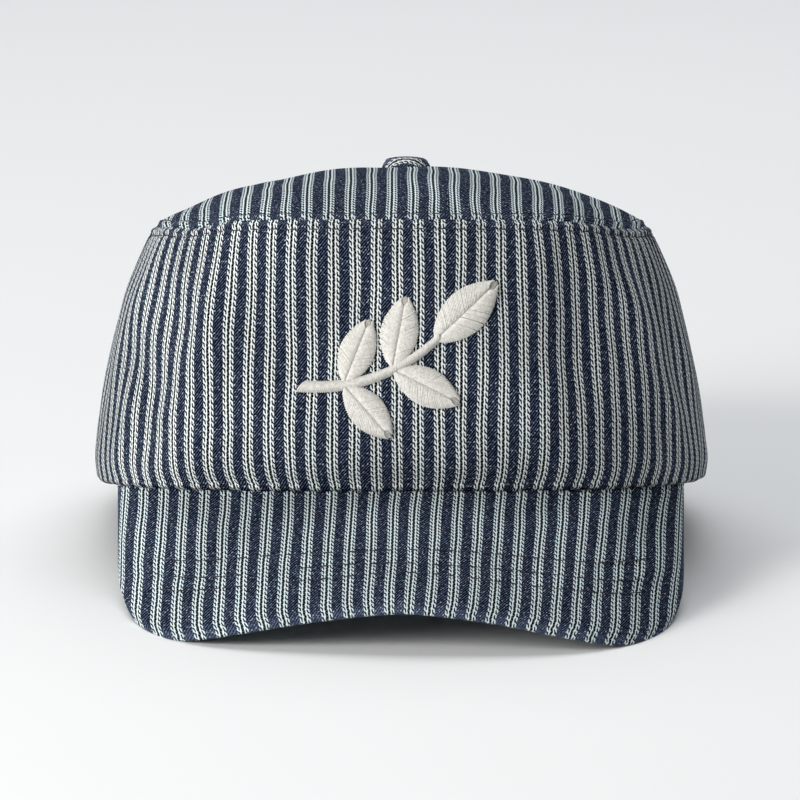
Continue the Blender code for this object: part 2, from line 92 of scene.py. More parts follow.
def meshObject(name, points, faces, uvs, material, wearAndShade=None):
    # points already at rest; uvs one pair per face corner, in metres of cloth
    faces = np.asarray(faces)
    mesh = bpy.data.meshes.new(name)
    corners = [[i for i, v in enumerate(face) if v not in face[:i]] for face in faces.tolist()]
    mesh.from_pydata(points.tolist(), [], [face[kept].tolist() for face, kept in zip(faces, corners)])
    layer = mesh.uv_layers.new(name="cloth")
    flat = np.concatenate([uv[kept] for uv, kept in zip(uvs, corners)]).astype(np.float32)
    layer.data.foreach_set("uv", flat.ravel())
    if wearAndShade is not None:
        worn = mesh.attributes.new("wearAndShade", "FLOAT", "POINT")
        worn.data.foreach_set("value", np.asarray(wearAndShade, dtype=np.float32))
    mesh.shade_smooth()
    mesh.materials.append(material)
    made = bpy.data.objects.new(name, mesh)
    bpy.context.scene.collection.objects.link(made)
    mesh.update()
    return made


def gridObject(name, grid, uvGrid, material, closeRows=False, wearAndShade=None, caps=()):
    # a grid closed round its columns; each cap closes a row onto a point
    rows, columns = grid.shape[:2]
    faces, spots = gridFaces(rows, columns, closeRows, True)
    if closeRows:
        uvGrid = np.concatenate([uvGrid, uvGrid[-1:]])
    uvs = uvGrid[spots[..., 0], spots[..., 1]]
    points = grid.reshape(-1, 3)
    wearFlat = None if wearAndShade is None else wearAndShade.reshape(-1)
    c = np.arange(columns)
    for row, apex, apexUv in caps:
        order = [1, 0] if row == 0 else [0, 1]
        ends = np.stack([row * columns + c, row * columns + (c + 1) % columns], axis=-1)[:, order]
        pairs = np.stack([uvGrid[row, c], uvGrid[row, c + 1]], axis=1)[:, order]
        tips = np.tile(np.asarray(apexUv, dtype=float), (columns, 2, 1))
        faces = np.concatenate([faces, np.concatenate([ends, np.full((columns, 2), len(points))], axis=1)])
        uvs = np.concatenate([uvs, np.concatenate([pairs, tips], axis=1)])
        points = np.concatenate([points, apex[None]])
        if wearFlat is not None:
            wearFlat = np.append(wearFlat, 0.0)
    if signedVolume(points, faces) < 0:
        faces, uvs = faces[:, ::-1], uvs[:, ::-1]
    return meshObject(name, points, faces, uvs, material, wearFlat)


def ripple(u, v, seed, wavelength, waves=7):
    # a soft uneven surface from a few slanting waves, about -1 to 1
    rng = np.random.default_rng(seed)
    total = 0.0
    for _ in range(waves):
        heading = rng.uniform(0, math.tau)
        length = wavelength * rng.uniform(0.7, 1.6)
        phase = rng.uniform(0, math.tau)
        total = total + np.sin(math.tau * (u * math.cos(heading) + v * math.sin(heading)) / length + phase)
    return total / (waves / 2)


def plug(tree, socket, value):
    # a node stands for its first output
    if isinstance(value, bpy.types.Node):
        value = value.outputs[0]
    if isinstance(value, bpy.types.NodeSocket):
        tree.links.new(value, socket)
    else:
        socket.default_value = value


def plugAll(tree, node, sockets):
    for key, value in sockets.items():
        plug(tree, node.inputs[key], value)


def addNode(tree, kind, sockets, **settings):
    node = tree.nodes.new(kind)
    for key, value in settings.items():
        setattr(node, key, value)
    plugAll(tree, node, sockets)
    return node


def newMaterial(name):
    material = bpy.data.materials.new(name)
    material.use_nodes = True
    tree = material.node_tree
    tree.nodes.clear()
    shader = addNode(tree, "ShaderNodeBsdfPrincipled", {})
    addNode(tree, "ShaderNodeOutputMaterial", {"Surface": shader})
    return material, tree, shader


mathKinds = ("ADD", "SUBTRACT", "MULTIPLY", "DIVIDE", "MULTIPLY_ADD", "ABSOLUTE", "FRACT", "FLOOR", "MAXIMUM")


def mathFor(tree):
    # short forms of the Math node in one tree, in the order of mathKinds
    def short(kind):
        return lambda *values, **settings: addNode(
            tree, "ShaderNodeMath", dict(enumerate(values)), operation=kind, **settings
        ).outputs[0]

    return [short(kind) for kind in mathKinds]


def fade(tree, value, start, end, low=0.0, high=1.0):
    # smooth step of value from start to end
    steps = dict(enumerate((value, start, end, low, high)))
    return addNode(tree, "ShaderNodeMapRange", steps, interpolation_type="SMOOTHSTEP").outputs[0]


def blendColor(tree, factor, first, second):
    return addNode(tree, "ShaderNodeMix", {0: factor, 6: first, 7: second}, data_type="RGBA").outputs[2]


def noiseOf(tree, vector, scale, detail=2.0, stretch=(1.0, 1.0, 1.0)):
    place = addNode(tree, "ShaderNodeMapping", {"Scale": stretch, "Vector": vector})
    return addNode(tree, "ShaderNodeTexNoise", {"Scale": scale, "Detail": detail, "Vector": place}).outputs[0]


def bumpOf(tree, height, distance, strength):
    return addNode(tree, "ShaderNodeBump", {"Distance": distance, "Strength": strength, "Height": height})


def clothPlace(tree):
    # the cloth's own coordinates: as a vector in metres, and across and along the stripes in millimetres
    uvMap = addNode(tree, "ShaderNodeUVMap", {}, uv_map="cloth").outputs[0]
    split = addNode(tree, "ShaderNodeSeparateXYZ", {"Vector": uvMap})
    across, along = (
        addNode(tree, "ShaderNodeMath", {0: split.outputs[axis], 1: 1000.0}, operation="MULTIPLY").outputs[0]
        for axis in ("X", "Y")
    )
    return uvMap, across, along


stripedWeave = {
    # widths and pitches in millimetres of cloth; noises as scale, detail, stretch; fades as start, end, low, high
    "pitch": 6.0,
    "cordOut": 0.58, "cordHalf": 0.215, "cordSoft": 0.04, "cordWave": 0.38,     # the two solid cords of a stripe
    "dashOut": 1.33, "dashHalf": 0.20,                                          # the dashed outer columns
    "tieOut": 0.96, "tieHalf": 0.20, "tieShare": 0.11,                          # what ties them to the cords
    "dashPitch": 1.70, "dashSlant": 1.4, "dashShare": 0.32, "dashShift": 0.37, "dashSoft": 0.05,
    "linkPitch": 0.9, "linkFade": (0.20, 0.08), "linkReach": (0.36, 0.16, 0.0, 0.12),
    "twistPitch": 0.7, "twistShift": 0.2, "twistFade": (0.02, 0.30, 0.55, 1.0),
    "twillPitch": 1.12, "twillSlant": 1.3, "twillFade": (0.24, 0.08), "twillMix": 0.85,
    "slow": (42.0, 1.0, (1.0, 0.8, 1.0)), "slowPull": 1.7,
    "fray": (1300.0, 1.0, (0.7, 1.0, 1.0)), "frayPull": 0.24,
    "broken": (950.0, 1.0), "brokenFade": (0.36, 0.60, 0.25, 1.0),
    "grain": (2600.0, 1.0), "grainFade": (0.25, 0.55, 0.75, 1.0),
    "dots": (1500.0, 0.0), "dotsFade": (0.66, 0.74), "dotsTwill": (0.40, 0.20),
    "patch": (28.0, 3.0), "patchFade": (0.25, 0.75, 0.86, 1.12),
    # the last fade here darkens the colour where the hem turns under: painted shade
    "wearAndShadeMix": 0.55, "wearAndShadeFade": (0.35, 0.70, 0.15, 1.0), "hemShadeFade": (-0.8, 0.0, 0.40, 1.0),
    # near-black for the slits between a stripe's cords: painted shade
    "slitShade": (0.0006, 0.0008, 0.0014, 1.0), "slitShadeReach": (1.62, 1.40, 0.0, 0.93),
    "navyDeep": (0.0012, 0.0024, 0.0085, 1.0),
    "navyPale": (0.130, 0.170, 0.270, 1.0),
    "speck": (0.40, 0.45, 0.54, 1.0),
    "threadDeep": (0.56, 0.61, 0.62, 1.0),
    "threadPale": (0.90, 0.94, 0.94, 1.0),
    "threadCoolPaintedLight": (0.76, 0.87, 0.90, 1.0),      # the same thread tinted cooler on the upward-facing top panel and peak: painted cool light from above
    "paleRelief": 0.75, "twillRelief": 0.35, "grainRelief": 0.30, "bump": (0.00026, 0.6),
    "roughness": (0.92, 0.80), "specular": 0.02,
}


def stripedCloth(name, phase, warpShare=1.0, alongShare=1.0, threads="threadPale"):
    s = stripedWeave
    material, tree, shader = newMaterial(name)
    add, less, times, over, timesAdd, size, part, whole, most = mathFor(tree)
    place, across, along = clothPlace(tree)
    slow, fray, broken, grain, dots, patch = (
        noiseOf(tree, place, *s[key]) for key in ("slow", "fray", "broken", "grain", "dots", "patch")
    )

    def faded(value, key):
        return fade(tree, value, *s[key])

    def lineAt(value, at, half, soft):
        return fade(tree, size(less(value, at)) if at else value, half + soft, half - soft)

    def offMiddle(turns):
        return size(less(part(turns), 0.5))

    along = times(along, alongShare)
    smooth = add(across, times(less(slow, 0.5), s["slowPull"] * warpShare))
    shifted = add(smooth, times(less(fray, 0.5), s["frayPull"]))
    turns = add(over(less(shifted, phase * 1000), s["pitch"]), 0.5)
    inStripe = times(less(part(turns), 0.5), s["pitch"])
    out = size(inStripe)
    lean = timesAdd(inStripe, s["dashSlant"], along)
    dashOff = offMiddle(add(over(lean, s["dashPitch"]), times(whole(turns), s["dashShift"])))
    cordAt = timesAdd(less(0.25, dashOff), s["cordWave"], s["cordOut"])
    cord = lineAt(out, cordAt, s["cordHalf"], s["cordSoft"])
    dash = times(
        lineAt(dashOff, 0, s["dashShare"], s["dashSoft"]), lineAt(out, s["dashOut"], s["dashHalf"], s["dashSoft"])
    )
    tied = times(
        lineAt(out, s["tieOut"], s["tieHalf"], s["dashSoft"]), lineAt(dashOff, 0, s["tieShare"], s["dashSoft"])
    )
    link = times(faded(offMiddle(over(along, s["linkPitch"])), "linkFade"), faded(out, "linkReach"))
    pale = most(most(cord, most(dash, tied)), link, use_clamp=True)
    twillOff = offMiddle(over(timesAdd(smooth, -s["twillSlant"], along), s["twillPitch"]))
    twill = times(faded(twillOff, "twillFade"), faded(broken, "brokenFade"))
    speck = times(faded(dots, "dotsFade"), faded(twillOff, "dotsTwill"))
    # the wear attribute: real wear above 0, painted shade under the hem below 0; worn carries both into the ground's
    # twill mix
    wearAndShade = addNode(tree, "ShaderNodeAttribute", {}, attribute_name="wearAndShade").outputs["Fac"]
    worn = times(wearAndShade, faded(grain, "wearAndShadeFade"))
    groundMix = add(times(twill, s["twillMix"]), times(worn, s["wearAndShadeMix"]), use_clamp=True)
    ground = blendColor(tree, groundMix, s["navyDeep"], s["navyPale"])
    ground = blendColor(tree, speck, ground, s["speck"])
    # painted shade: within a stripe the ground in the slits between the cords goes near-black
    ground = blendColor(tree, faded(out, "slitShadeReach"), ground, s["slitShade"])
    twist = offMiddle(add(over(lean, s["twistPitch"]), s["twistShift"]))
    threadMix = times(faded(twist, "twistFade"), faded(grain, "grainFade"))
    thread = blendColor(tree, threadMix, s["threadDeep"], s[threads])
    # painted shade under the hem darkens the colour's value, together with random patches of tone
    shade = times(faded(wearAndShade, "hemShadeFade"), faded(patch, "patchFade"))
    color = addNode(tree, "ShaderNodeHueSaturation", {"Value": shade, "Color": blendColor(tree, pale, ground, thread)})
    relief = add(times(pale, s["paleRelief"]), times(twill, s["twillRelief"]))
    relief = add(relief, times(grain, s["grainRelief"]))
    plugAll(tree, shader, {
        "Base Color": color, "Normal": bumpOf(tree, relief, *s["bump"]),
        "Roughness": fade(tree, pale, 0.0, 1.0, *s["roughness"]), "Specular IOR Level": s["specular"],
    })
    return material


plainTwill = {
    "pitch": 0.9, "slant": 1.1, "ribFade": (0.34, 0.08),          # millimetres of cloth
    "grain": (2200.0, 2.0), "grainFade": (0.3, 0.7, 0.4, 1.0),
    "patch": (24.0, 3.0), "patchFade": (0.3, 0.7, 0.7, 1.1),
    "deep": (0.010, 0.014, 0.026, 1.0), "pale": (0.065, 0.082, 0.125, 1.0),
    "grainRelief": 0.5, "bump": (0.00018, 0.7), "roughFade": (0.2, 0.8, 0.82, 0.94),
    "specular": 0.10, "sheen": 0.03,
}


def bandTwill(name):
    s = plainTwill
    material, tree, shader = newMaterial(name)
    add, less, times, over, timesAdd, size, part = mathFor(tree)[:7]
    place, across, along = clothPlace(tree)
    line = over(timesAdd(across, -s["slant"], along), s["pitch"])
    rib = fade(tree, size(less(part(line), 0.5)), *s["ribFade"])
    grain, patch = noiseOf(tree, place, *s["grain"]), noiseOf(tree, place, *s["patch"])
    mix = times(times(rib, fade(tree, grain, *s["grainFade"])), fade(tree, patch, *s["patchFade"]))
    relief = add(rib, times(grain, s["grainRelief"]))
    plugAll(tree, shader, {
        "Base Color": blendColor(tree, mix, s["deep"], s["pale"]), "Normal": bumpOf(tree, relief, *s["bump"]),
        "Roughness": fade(tree, grain, *s["roughFade"]), "Specular IOR Level": s["specular"],
        "Sheen Weight": s["sheen"],
    })
    return material


spun = {
    "fibre": (1400.0, 3.0), "fibreFade": (0.25, 0.70), "patch": (90.0, 2.0), "patchFade": (0.3, 0.7, 0.80, 1.0),
    "bump": (0.00012, 0.5), "roughSpan": (0.2, 0.8), "roughShift": 0.08,
}


def spunThread(name, deep, pale, roughness, sheen):
    # thread or embroidery floss: fine fibres from noise on the object's own coordinates
    material, tree, shader = newMaterial(name)
    times = mathFor(tree)[2]
    place = addNode(tree, "ShaderNodeTexCoord", {}).outputs["Object"]
    fibre, patch = noiseOf(tree, place, *spun["fibre"]), noiseOf(tree, place, *spun["patch"])
    mix = times(fade(tree, fibre, *spun["fibreFade"]), fade(tree, patch, *spun["patchFade"]))
    rough = (roughness + spun["roughShift"], roughness - spun["roughShift"])
    plugAll(tree, shader, {
        "Base Color": blendColor(tree, mix, deep, pale), "Normal": bumpOf(tree, fibre, *spun["bump"]),
        "Roughness": fade(tree, fibre, *spun["roughSpan"], *rough), "Sheen Weight": sheen,
    })
    return material


def newTree(name, inputs):
    tree = bpy.data.node_groups.new(name, "GeometryNodeTree")
    for title, kind in [("Geometry", "Geometry")] + inputs:
        tree.interface.new_socket(title, in_out="INPUT", socket_type="NodeSocket" + kind)
    tree.interface.new_socket("Geometry", in_out="OUTPUT", socket_type="NodeSocketGeometry")
    return tree, tree.nodes.new("NodeGroupInput").outputs


def finishTree(tree, given, geometry):
    # every tree ends in Realize Instances and Set Material
    smooth = addNode(tree, "GeometryNodeSetShadeSmooth", {"Geometry": geometry})
    realize = addNode(tree, "GeometryNodeRealizeInstances", {"Geometry": smooth})
    paint = addNode(tree, "GeometryNodeSetMaterial", {"Geometry": realize, "Material": given["Material"]})
    addNode(tree, "NodeGroupOutput", {"Geometry": paint})
    return tree


def stitchTree():
    tree, given = newTree("stitchRow", [
        ("Pitch", "Float"), ("Stitch Length", "Float"), ("Thread Radius", "Float"),
        ("Least Half", "Float"), ("Most Half", "Float"), ("Seed", "Int"), ("Material", "Material"),
    ])
    path = addNode(tree, "GeometryNodeMeshToCurve", {"Mesh": given["Geometry"]})
    spots = addNode(tree, "GeometryNodeCurveToPoints", {"Curve": path, "Length": given["Pitch"]}, mode="LENGTH")
    upward = addNode(tree, "GeometryNodeInputNamedAttribute", {"Name": "surfaceUp"}, data_type="FLOAT_VECTOR")
    aim = addNode(tree, "FunctionNodeAlignRotationToVector", {"Vector": spots.outputs["Tangent"]}, axis="X")
    stand = addNode(
        tree, "FunctionNodeAlignRotationToVector", {"Rotation": aim, "Vector": upward}, axis="Z", pivot_axis="X"
    )
    uneven = addNode(tree, "FunctionNodeRandomValue", {
        2: given["Least Half"], 3: given["Most Half"], "Seed": given["Seed"],
    }, data_type="FLOAT")
    halfLength = mathFor(tree)[2](given["Stitch Length"], uneven.outputs[1])
    size = addNode(tree, "ShaderNodeCombineXYZ", {
        "X": halfLength, "Y": given["Thread Radius"], "Z": given["Thread Radius"],
    })
    bead = addNode(tree, "GeometryNodeMeshUVSphere", {"Segments": 8, "Rings": 6})
    quarter = (0.0, math.pi / 2, 0.0)                     # the sphere's poles go to the stitch's ends
    turned = addNode(tree, "GeometryNodeTransform", {"Geometry": bead, "Rotation": quarter})
    copies = addNode(tree, "GeometryNodeInstanceOnPoints", {
        "Points": spots, "Instance": turned, "Rotation": stand, "Scale": size,
    })
    return finishTree(tree, given, copies)


def threadTree():
    tree, given = newTree("laidThread", [("Thread Radius", "Float"), ("Sides", "Int"), ("Material", "Material")])
    path = addNode(tree, "GeometryNodeMeshToCurve", {"Mesh": given["Geometry"]})
    section = addNode(tree, "GeometryNodeCurvePrimitiveCircle", {
        "Resolution": given["Sides"], "Radius": given["Thread Radius"],
    })
    sweep = addNode(tree, "GeometryNodeCurveToMesh", {"Curve": path, "Profile Curve": section, "Fill Caps": True})
    return finishTree(tree, given, sweep)


def grown(name, lines, tree, values, ups=None):
    # runs a tree over polylines and keeps the result as a plain mesh
    mesh = bpy.data.meshes.new(name)
    edges, start = [], 0
    for line in lines:
        edges += [(start + i, start + i + 1) for i in range(len(line) - 1)]
        start += len(line)
    mesh.from_pydata(np.concatenate(lines).tolist(), edges, [])
    if ups is not None:
        held = mesh.attributes.new("surfaceUp", "FLOAT_VECTOR", "POINT")
        held.data.foreach_set("vector", np.concatenate(ups).astype(np.float32).ravel())
    made = bpy.data.objects.new(name, mesh)
    bpy.context.scene.collection.objects.link(made)
    modifier = made.modifiers.new(name, "NODES")
    modifier.node_group = tree
    for item in tree.interface.items_tree:
        if item.item_type == "SOCKET" and item.in_out == "INPUT" and item.name in values:
            modifier[item.identifier] = values[item.name]
    bpy.context.view_layer.update()
    plain = bpy.data.meshes.new_from_object(made.evaluated_get(bpy.context.evaluated_depsgraph_get()))
    made.modifiers.remove(modifier)
    made.data = plain
    plain.name = name
    print(f"{name}: {len(plain.polygons)} faces")
    return made


crown = {
    "width": 0.1815, "frontReach": 0.1055, "backReach": 0.0950,
    "frontHeight": 0.0776, "backHeight": 0.0735,
    "cloth": 0.0018, "hemTurn": 0.0050, "hemFullness": 2.8,
    "backSquareness": 2.3, "cornerSkew": 0.10, "foldFade": 0.12,
    "columns": 720, "rowStep": 0.0014, "firstRow": 0.0073, "lastRow": 0.968, "hemRows": 12, "insideRows": 16,
    "seamSink": 0.00055, "seamWidth": 0.0010,       # groove where the two cloths meet
    "swell": 0.00022, "swellOff": 0.0017, "swellWidth": 0.0007,
    "stitchOff": 0.0030, "stitchSink": 0.00026, "stitchWidth": 0.00055,     # topstitching each side of the seam
    "puckerPitch": 0.0075, "puckerDepth": 0.00024, "puckerReach": 0.0060, "puckerStart": 0.0012,
    "rippleDepth": 0.00030, "cornerRipple": 0.00075, "corner": 0.26, "cornerSpread": 0.09,
    "hemRipple": 0.00022, "hemRippleTop": 0.25,
    "backSeam": 0.00040, "backSeamWidth": 0.0010, "halfRound": 0.287,
    "hemPull": 0.0007, "hemPullSpan": 0.035, "hemPullReach": 0.0014, "hemPullBack": 0.10,   # a twist where it turns
    "wornSeam": 0.30, "wornOff": 0.0012, "wornWidth": 0.0007, "hemShadeFullness": 0.6,
    "stripePhase": 0.0012,
}

# height, width, front and back as shares, squareness of the front half
wallRows = np.array([
    (0.030, 0.996, 0.930, 0.985, 2.9),
    (0.085, 1.001, 0.962, 0.998, 2.9),
    (0.170, 0.997, 0.988, 1.000, 2.9),
    (0.300, 0.981, 1.000, 0.988, 2.9),
    (0.450, 0.959, 0.979, 0.962, 2.8),
    (0.600, 0.934, 0.949, 0.932, 2.7),
    (0.740, 0.903, 0.922, 0.898, 2.6),
    (0.860, 0.864, 0.902, 0.860, 2.5),
    (0.940, 0.834, 0.888, 0.828, 2.45),
    (1.000, 0.808, 0.872, 0.798, 2.4),
])

# around, height, spread, tall, depth
folds = [
    (-0.185, 0.50, 0.030, 0.42, 0.0013), (-0.245, 0.45, 0.034, 0.36, -0.0016),
    (-0.330, 0.60, 0.030, 0.30, 0.0009), (0.190, 0.52, 0.032, 0.34, -0.0012),
    (0.150, 0.62, 0.028, 0.26, 0.0008), (0.265, 0.40, 0.036, 0.36, 0.0010),
    (0.350, 0.55, 0.030, 0.30, -0.0010), (0.640, 0.45, 0.050, 0.38, -0.0014),
    (-0.700, 0.50, 0.050, 0.38, -0.0012),
]
# around, spread, depth
seamDips = [(-0.262, 0.050, 0.0018), (-0.370, 0.100, 0.0013), (0.350, 0.100, 0.0018)]
# distances of the close rows beside the top seam
fineSteps = np.array([0, 0.3, 0.6, 1.0, 1.5, 1.9, 2.3, 2.65, 3.0, 3.35, 3.7, 4.2, 5.0, 6.0]) / 1000


def sectionAt(height):
    # width, front, back and squareness of the wall at a share of its height
    keys = wallRows[:, 0]
    height = min(max(height, keys[0]), keys[-1])
    i = min(max(int(np.searchsorted(keys, height)) - 1, 0), len(keys) - 2)
    step = keys[i + 1] - keys[i]
    t = (height - keys[i]) / step
    low, high = wallRows[i, 1:], wallRows[i + 1, 1:]
    slopes = np.gradient(wallRows[:, 1:], keys, axis=0)
    return (
        (2 * t**3 - 3 * t**2 + 1) * low + (t**3 - 2 * t**2 + t) * step * slopes[i]
        + (3 * t**2 - 2 * t**3) * high + (t**3 - t**2) * step * slopes[i + 1]
    )


def outline(halfWidth, front, back, square, shares):
    # plan points at shares of half the outline from the front centre, and half its length
    turn = np.linspace(-math.pi, math.pi, 2881)
    reach = np.where(np.cos(turn) >= 0, front, back)
    skewed = square * (1 - crown["cornerSkew"] * np.sign(np.sin(turn)))
    power = 2 / np.where(np.cos(turn) >= 0, skewed, crown["backSquareness"])
    x = halfWidth * np.sign(np.sin(turn)) * np.abs(np.sin(turn)) ** power
    y = -reach * np.sign(np.cos(turn)) * np.abs(np.cos(turn)) ** power
    run = np.concatenate([[0], np.cumsum(np.hypot(np.diff(x), np.diff(y)))])
    half = run[-1] / 2
    at = ((np.asarray(shares) + 1) % 2 - 1) * half + half
    return np.stack([np.interp(at, run, x), np.interp(at, run, y)], axis=-1), half


def wallOutline(height, shares, inset=0.0):
    width, front, back, square = sectionAt(height)
    return outline(
        width * crown["width"] / 2 - inset, front * crown["frontReach"] - inset,
        back * crown["backReach"] - inset, square, shares,
    )


def wallHeight(y):
    rise = (crown["backHeight"] - crown["frontHeight"]) / (crown["frontReach"] + crown["backReach"])
    return crown["frontHeight"] + rise * (y + crown["frontReach"])


def aroundGap(around, other):
    apart = np.abs(np.asarray(around) - other)
    return np.minimum(apart, 2 - apart)


def seamDip(around):
    return sum(depth * bell(aroundGap(around, at), spread) for at, spread, depth in seamDips)


def foldDepth(around, height):
    total = sum(
        depth * np.exp(-(aroundGap(around, at) / spread) ** 2 - ((height - up) / tall) ** 2)
        for at, up, spread, tall, depth in folds
    )
    return total * min(1.0, max(0.0, (height - wallRows[0, 0]) / crown["foldFade"]))


def wallLine(height, shares):
    # points round the crown at a share of its height, folds and all, and their run from the front
    flat, half = wallOutline(height, shares)
    ahead, _ = wallOutline(height, shares + 0.002)
    behind, _ = wallOutline(height, shares - 0.002)
    along = unit(ahead - behind)
    outward = np.stack([along[..., 1], -along[..., 0]], axis=-1)
    flat = flat + outward * foldDepth(shares, height)[..., None]
    z = height * wallHeight(flat[..., 1]) - height**4 * seamDip(shares)
    return np.concatenate([flat, z[..., None]], axis=-1), shares * half


def hemLine(turnAngle, shares):
    # the turned-under lower edge, from flat underneath (0) round to the wall (90 degrees)
    power = 2 / crown["hemFullness"]
    inset = 1 - math.sin(turnAngle) ** power
    up = 1 - math.cos(turnAngle) ** power
    flat, half = wallOutline(wallRows[0, 0], shares, inset * crown["hemTurn"])
    z = up * wallRows[0, 0] * wallHeight(flat[..., 1])
    return np.concatenate([flat, z[..., None]], axis=-1), shares * half


def seamGroove(off, along):
    # how far the cloth stands out at a distance off the top seam
    groove = -crown["seamSink"] * bell(off, crown["seamWidth"])
    pinch = -crown["stitchSink"] * bell(off - crown["stitchOff"], crown["stitchWidth"])
    swell = crown["swell"] * bell(off - crown["swellOff"], crown["swellWidth"])
    wave = np.sin(math.tau * along / crown["puckerPitch"] + 1.7 * np.sin(along * 61.0))
    grows = 1 - bell(off, crown["puckerStart"])
    return groove + pinch + swell + crown["puckerDepth"] * wave * np.exp(-off / crown["puckerReach"]) * grows


def aroundShares(columns):
    return np.linspace(-1, 1, columns + 1)


def spreadPick(count, picked):
    # rows of the outside that the plainer inside follows
    return np.unique(np.round(np.linspace(0, count - 1, picked)).astype(int))


shares = aroundShares(crown["columns"])
coarseUp = np.arange(crown["firstRow"], crown["frontHeight"] * crown["lastRow"], crown["rowStep"])
wallShares = (1 - np.concatenate([fineSteps, coarseUp]) / crown["frontHeight"])[::-1]
wallShares = np.concatenate([[wallRows[0, 0]], wallShares])
hemAngles = np.linspace(0, math.pi / 2, crown["hemRows"], endpoint=False)
lines = [hemLine(a, shares) for a in hemAngles] + [wallLine(h, shares) for h in wallShares]
wallGrid = np.array([points for points, _ in lines])
wallRun = np.array([run for _, run in lines])
climb = np.linalg.norm(np.diff(wallGrid[:, shares.size // 2], axis=0), axis=-1)
climb = np.concatenate([[0], np.cumsum(climb)])[:, None]
wallNormals = gridNormals(wallGrid[:, :-1])
wallHeights = np.concatenate([np.zeros(len(hemAngles)), wallShares])[:, None]
belowSeam = np.repeat((1 - wallHeights) * crown["frontHeight"], len(shares) - 1, axis=1)
runs = wallRun[:, :-1]
cornerShare = bell(np.abs(shares[:-1]) - crown["corner"], crown["cornerSpread"])
middle = np.sin(np.pi * np.clip(wallHeights, 0, 1)) ** 0.7
relief = seamGroove(belowSeam, runs)
relief = relief + crown["rippleDepth"] * ripple(runs, climb, 3, 0.030) * middle
relief = relief + crown["cornerRipple"] * ripple(runs * 1.2, climb, 8, 0.024) * cornerShare * middle
nearHem = wallHeights < crown["hemRippleTop"]
relief = relief + crown["hemRipple"] * ripple(runs, climb * 0.4, 12, 0.015) * nearHem
backGap = aroundGap(shares[:-1], 1.0) * crown["halfRound"]
relief = relief - crown["backSeam"] * bell(backGap, crown["backSeamWidth"])

topPanel = {
    "domeRise": 0.0172, "domeFullness": 2.6, "buttonShift": 0.0013, "buttonDimple": 0.0007,
    "buttonPull": 0.0240, "seat": 0.0081, "seatRing": 0.10, "meanReach": 0.082, "stripePhase": 0.0031,
    "rings": (0.912, 0.13, 44), "insideRows": 12, "rippleDepth": 0.00040, "gatherDepth": 0.00016,
    "gathers": 11, "gatherSpread": 0.10, "wornSeam": 0.35,
}
# across, along, spread, depth
hollows = [(0.52, 0.00, 0.40, 0.0012), (-0.48, -0.05, 0.38, 0.0016), (0.10, 0.66, 0.30, 0.0012)]

topMiddle = np.array([
    topPanel["buttonShift"], (wallRows[-1, 3] * crown["backReach"] - wallRows[-1, 2] * crown["frontReach"]) / 2
])


def domeHeight(x, y, ring):
    away = np.hypot(x - topMiddle[0], y - topMiddle[1])
    reach = topPanel["buttonPull"]
    pull = np.where(away < reach, 0.5 + 0.5 * np.cos(math.pi * away / reach), 0.0)
    z = wallHeight(y) + topPanel["domeRise"] * (1 - ring ** topPanel["domeFullness"]) - topPanel["buttonDimple"] * pull
    halfWidth = wallRows[-1, 1] * crown["width"] / 2
    halfLength = (wallRows[-1, 2] * crown["frontReach"] + wallRows[-1, 3] * crown["backReach"]) / 2
    for across, along, spread, depth in hollows:
        apart = np.hypot(x / halfWidth - across, (y - topMiddle[1]) / halfLength - along)
        z = z - depth * bell(apart, spread) * (1 - ring**4)
    return z


rim = wallGrid[-1]
rings = np.concatenate([1 - fineSteps / topPanel["meanReach"], np.linspace(*topPanel["rings"])])
topRows = []
for ring in rings:
    flat = topMiddle + (rim[:, :2] - topMiddle) * ring
    z = domeHeight(flat[:, 0], flat[:, 1], ring) - ring**4 * seamDip(shares)
    topRows.append(np.concatenate([flat, z[:, None]], axis=-1))
seat = topMiddle + unit(rim[:, :2] - topMiddle) * topPanel["seat"]
seatUp = float(domeHeight(topMiddle[0] + topPanel["seat"], topMiddle[1], 0.11))
topRows.append(np.concatenate([seat, np.full((len(seat), 1), seatUp)], axis=-1))
topGrid = np.array(topRows)
ringSizes = np.append(rings, topPanel["seatRing"])[:, None]
topNormals = facing(gridNormals(topGrid[:, :-1]), 2)
insideOff = np.repeat((1 - ringSizes) * topPanel["meanReach"], len(shares) - 1, axis=1)
topX, topY = topGrid[:, :-1, 0], topGrid[:, :-1, 1]
topRelief = seamGroove(insideOff, np.repeat(wallRun[-1:, :-1], len(ringSizes), axis=0))
fadeIn = np.clip((1 - ringSizes) * 6, 0, 1) * np.clip((ringSizes - topPanel["seatRing"]) * 8, 0, 1)
topRelief = topRelief + topPanel["rippleDepth"] * ripple(topX, topY, 21, 0.034) * fadeIn
heading = np.arctan2(topX - topMiddle[0], topY - topMiddle[1])
gathers = np.sin(heading * topPanel["gathers"] + 2 * np.sin(heading * 3))
topRelief = topRelief + topPanel["gatherDepth"] * gathers * bell(ringSizes - rings[-1], topPanel["gatherSpread"])
topRelief[-1] = 0

mitre = unit(wallNormals[-1] + topNormals[0])


def lifted(grid, normals, relief, off, width=0.0012):
    # near the seam both cloths move along one shared direction, so they stay joined
    share = bell(off, width)[..., None]
    direction = unit(normals * (1 - share) + mitre[None] * share)
    return grid[:, :-1] + direction * relief[..., None]


def wornBeside(off, share):
    return share * bell(off - crown["wornOff"], crown["wornWidth"])


wallOuter = lifted(wallGrid, wallNormals, relief, belowSeam)
topOuter = lifted(topGrid, topNormals, topRelief, insideOff)
seamMitre = mitre * (crown["cloth"] / np.maximum(np.sum(mitre * wallNormals[-1], axis=-1, keepdims=True), 0.5))

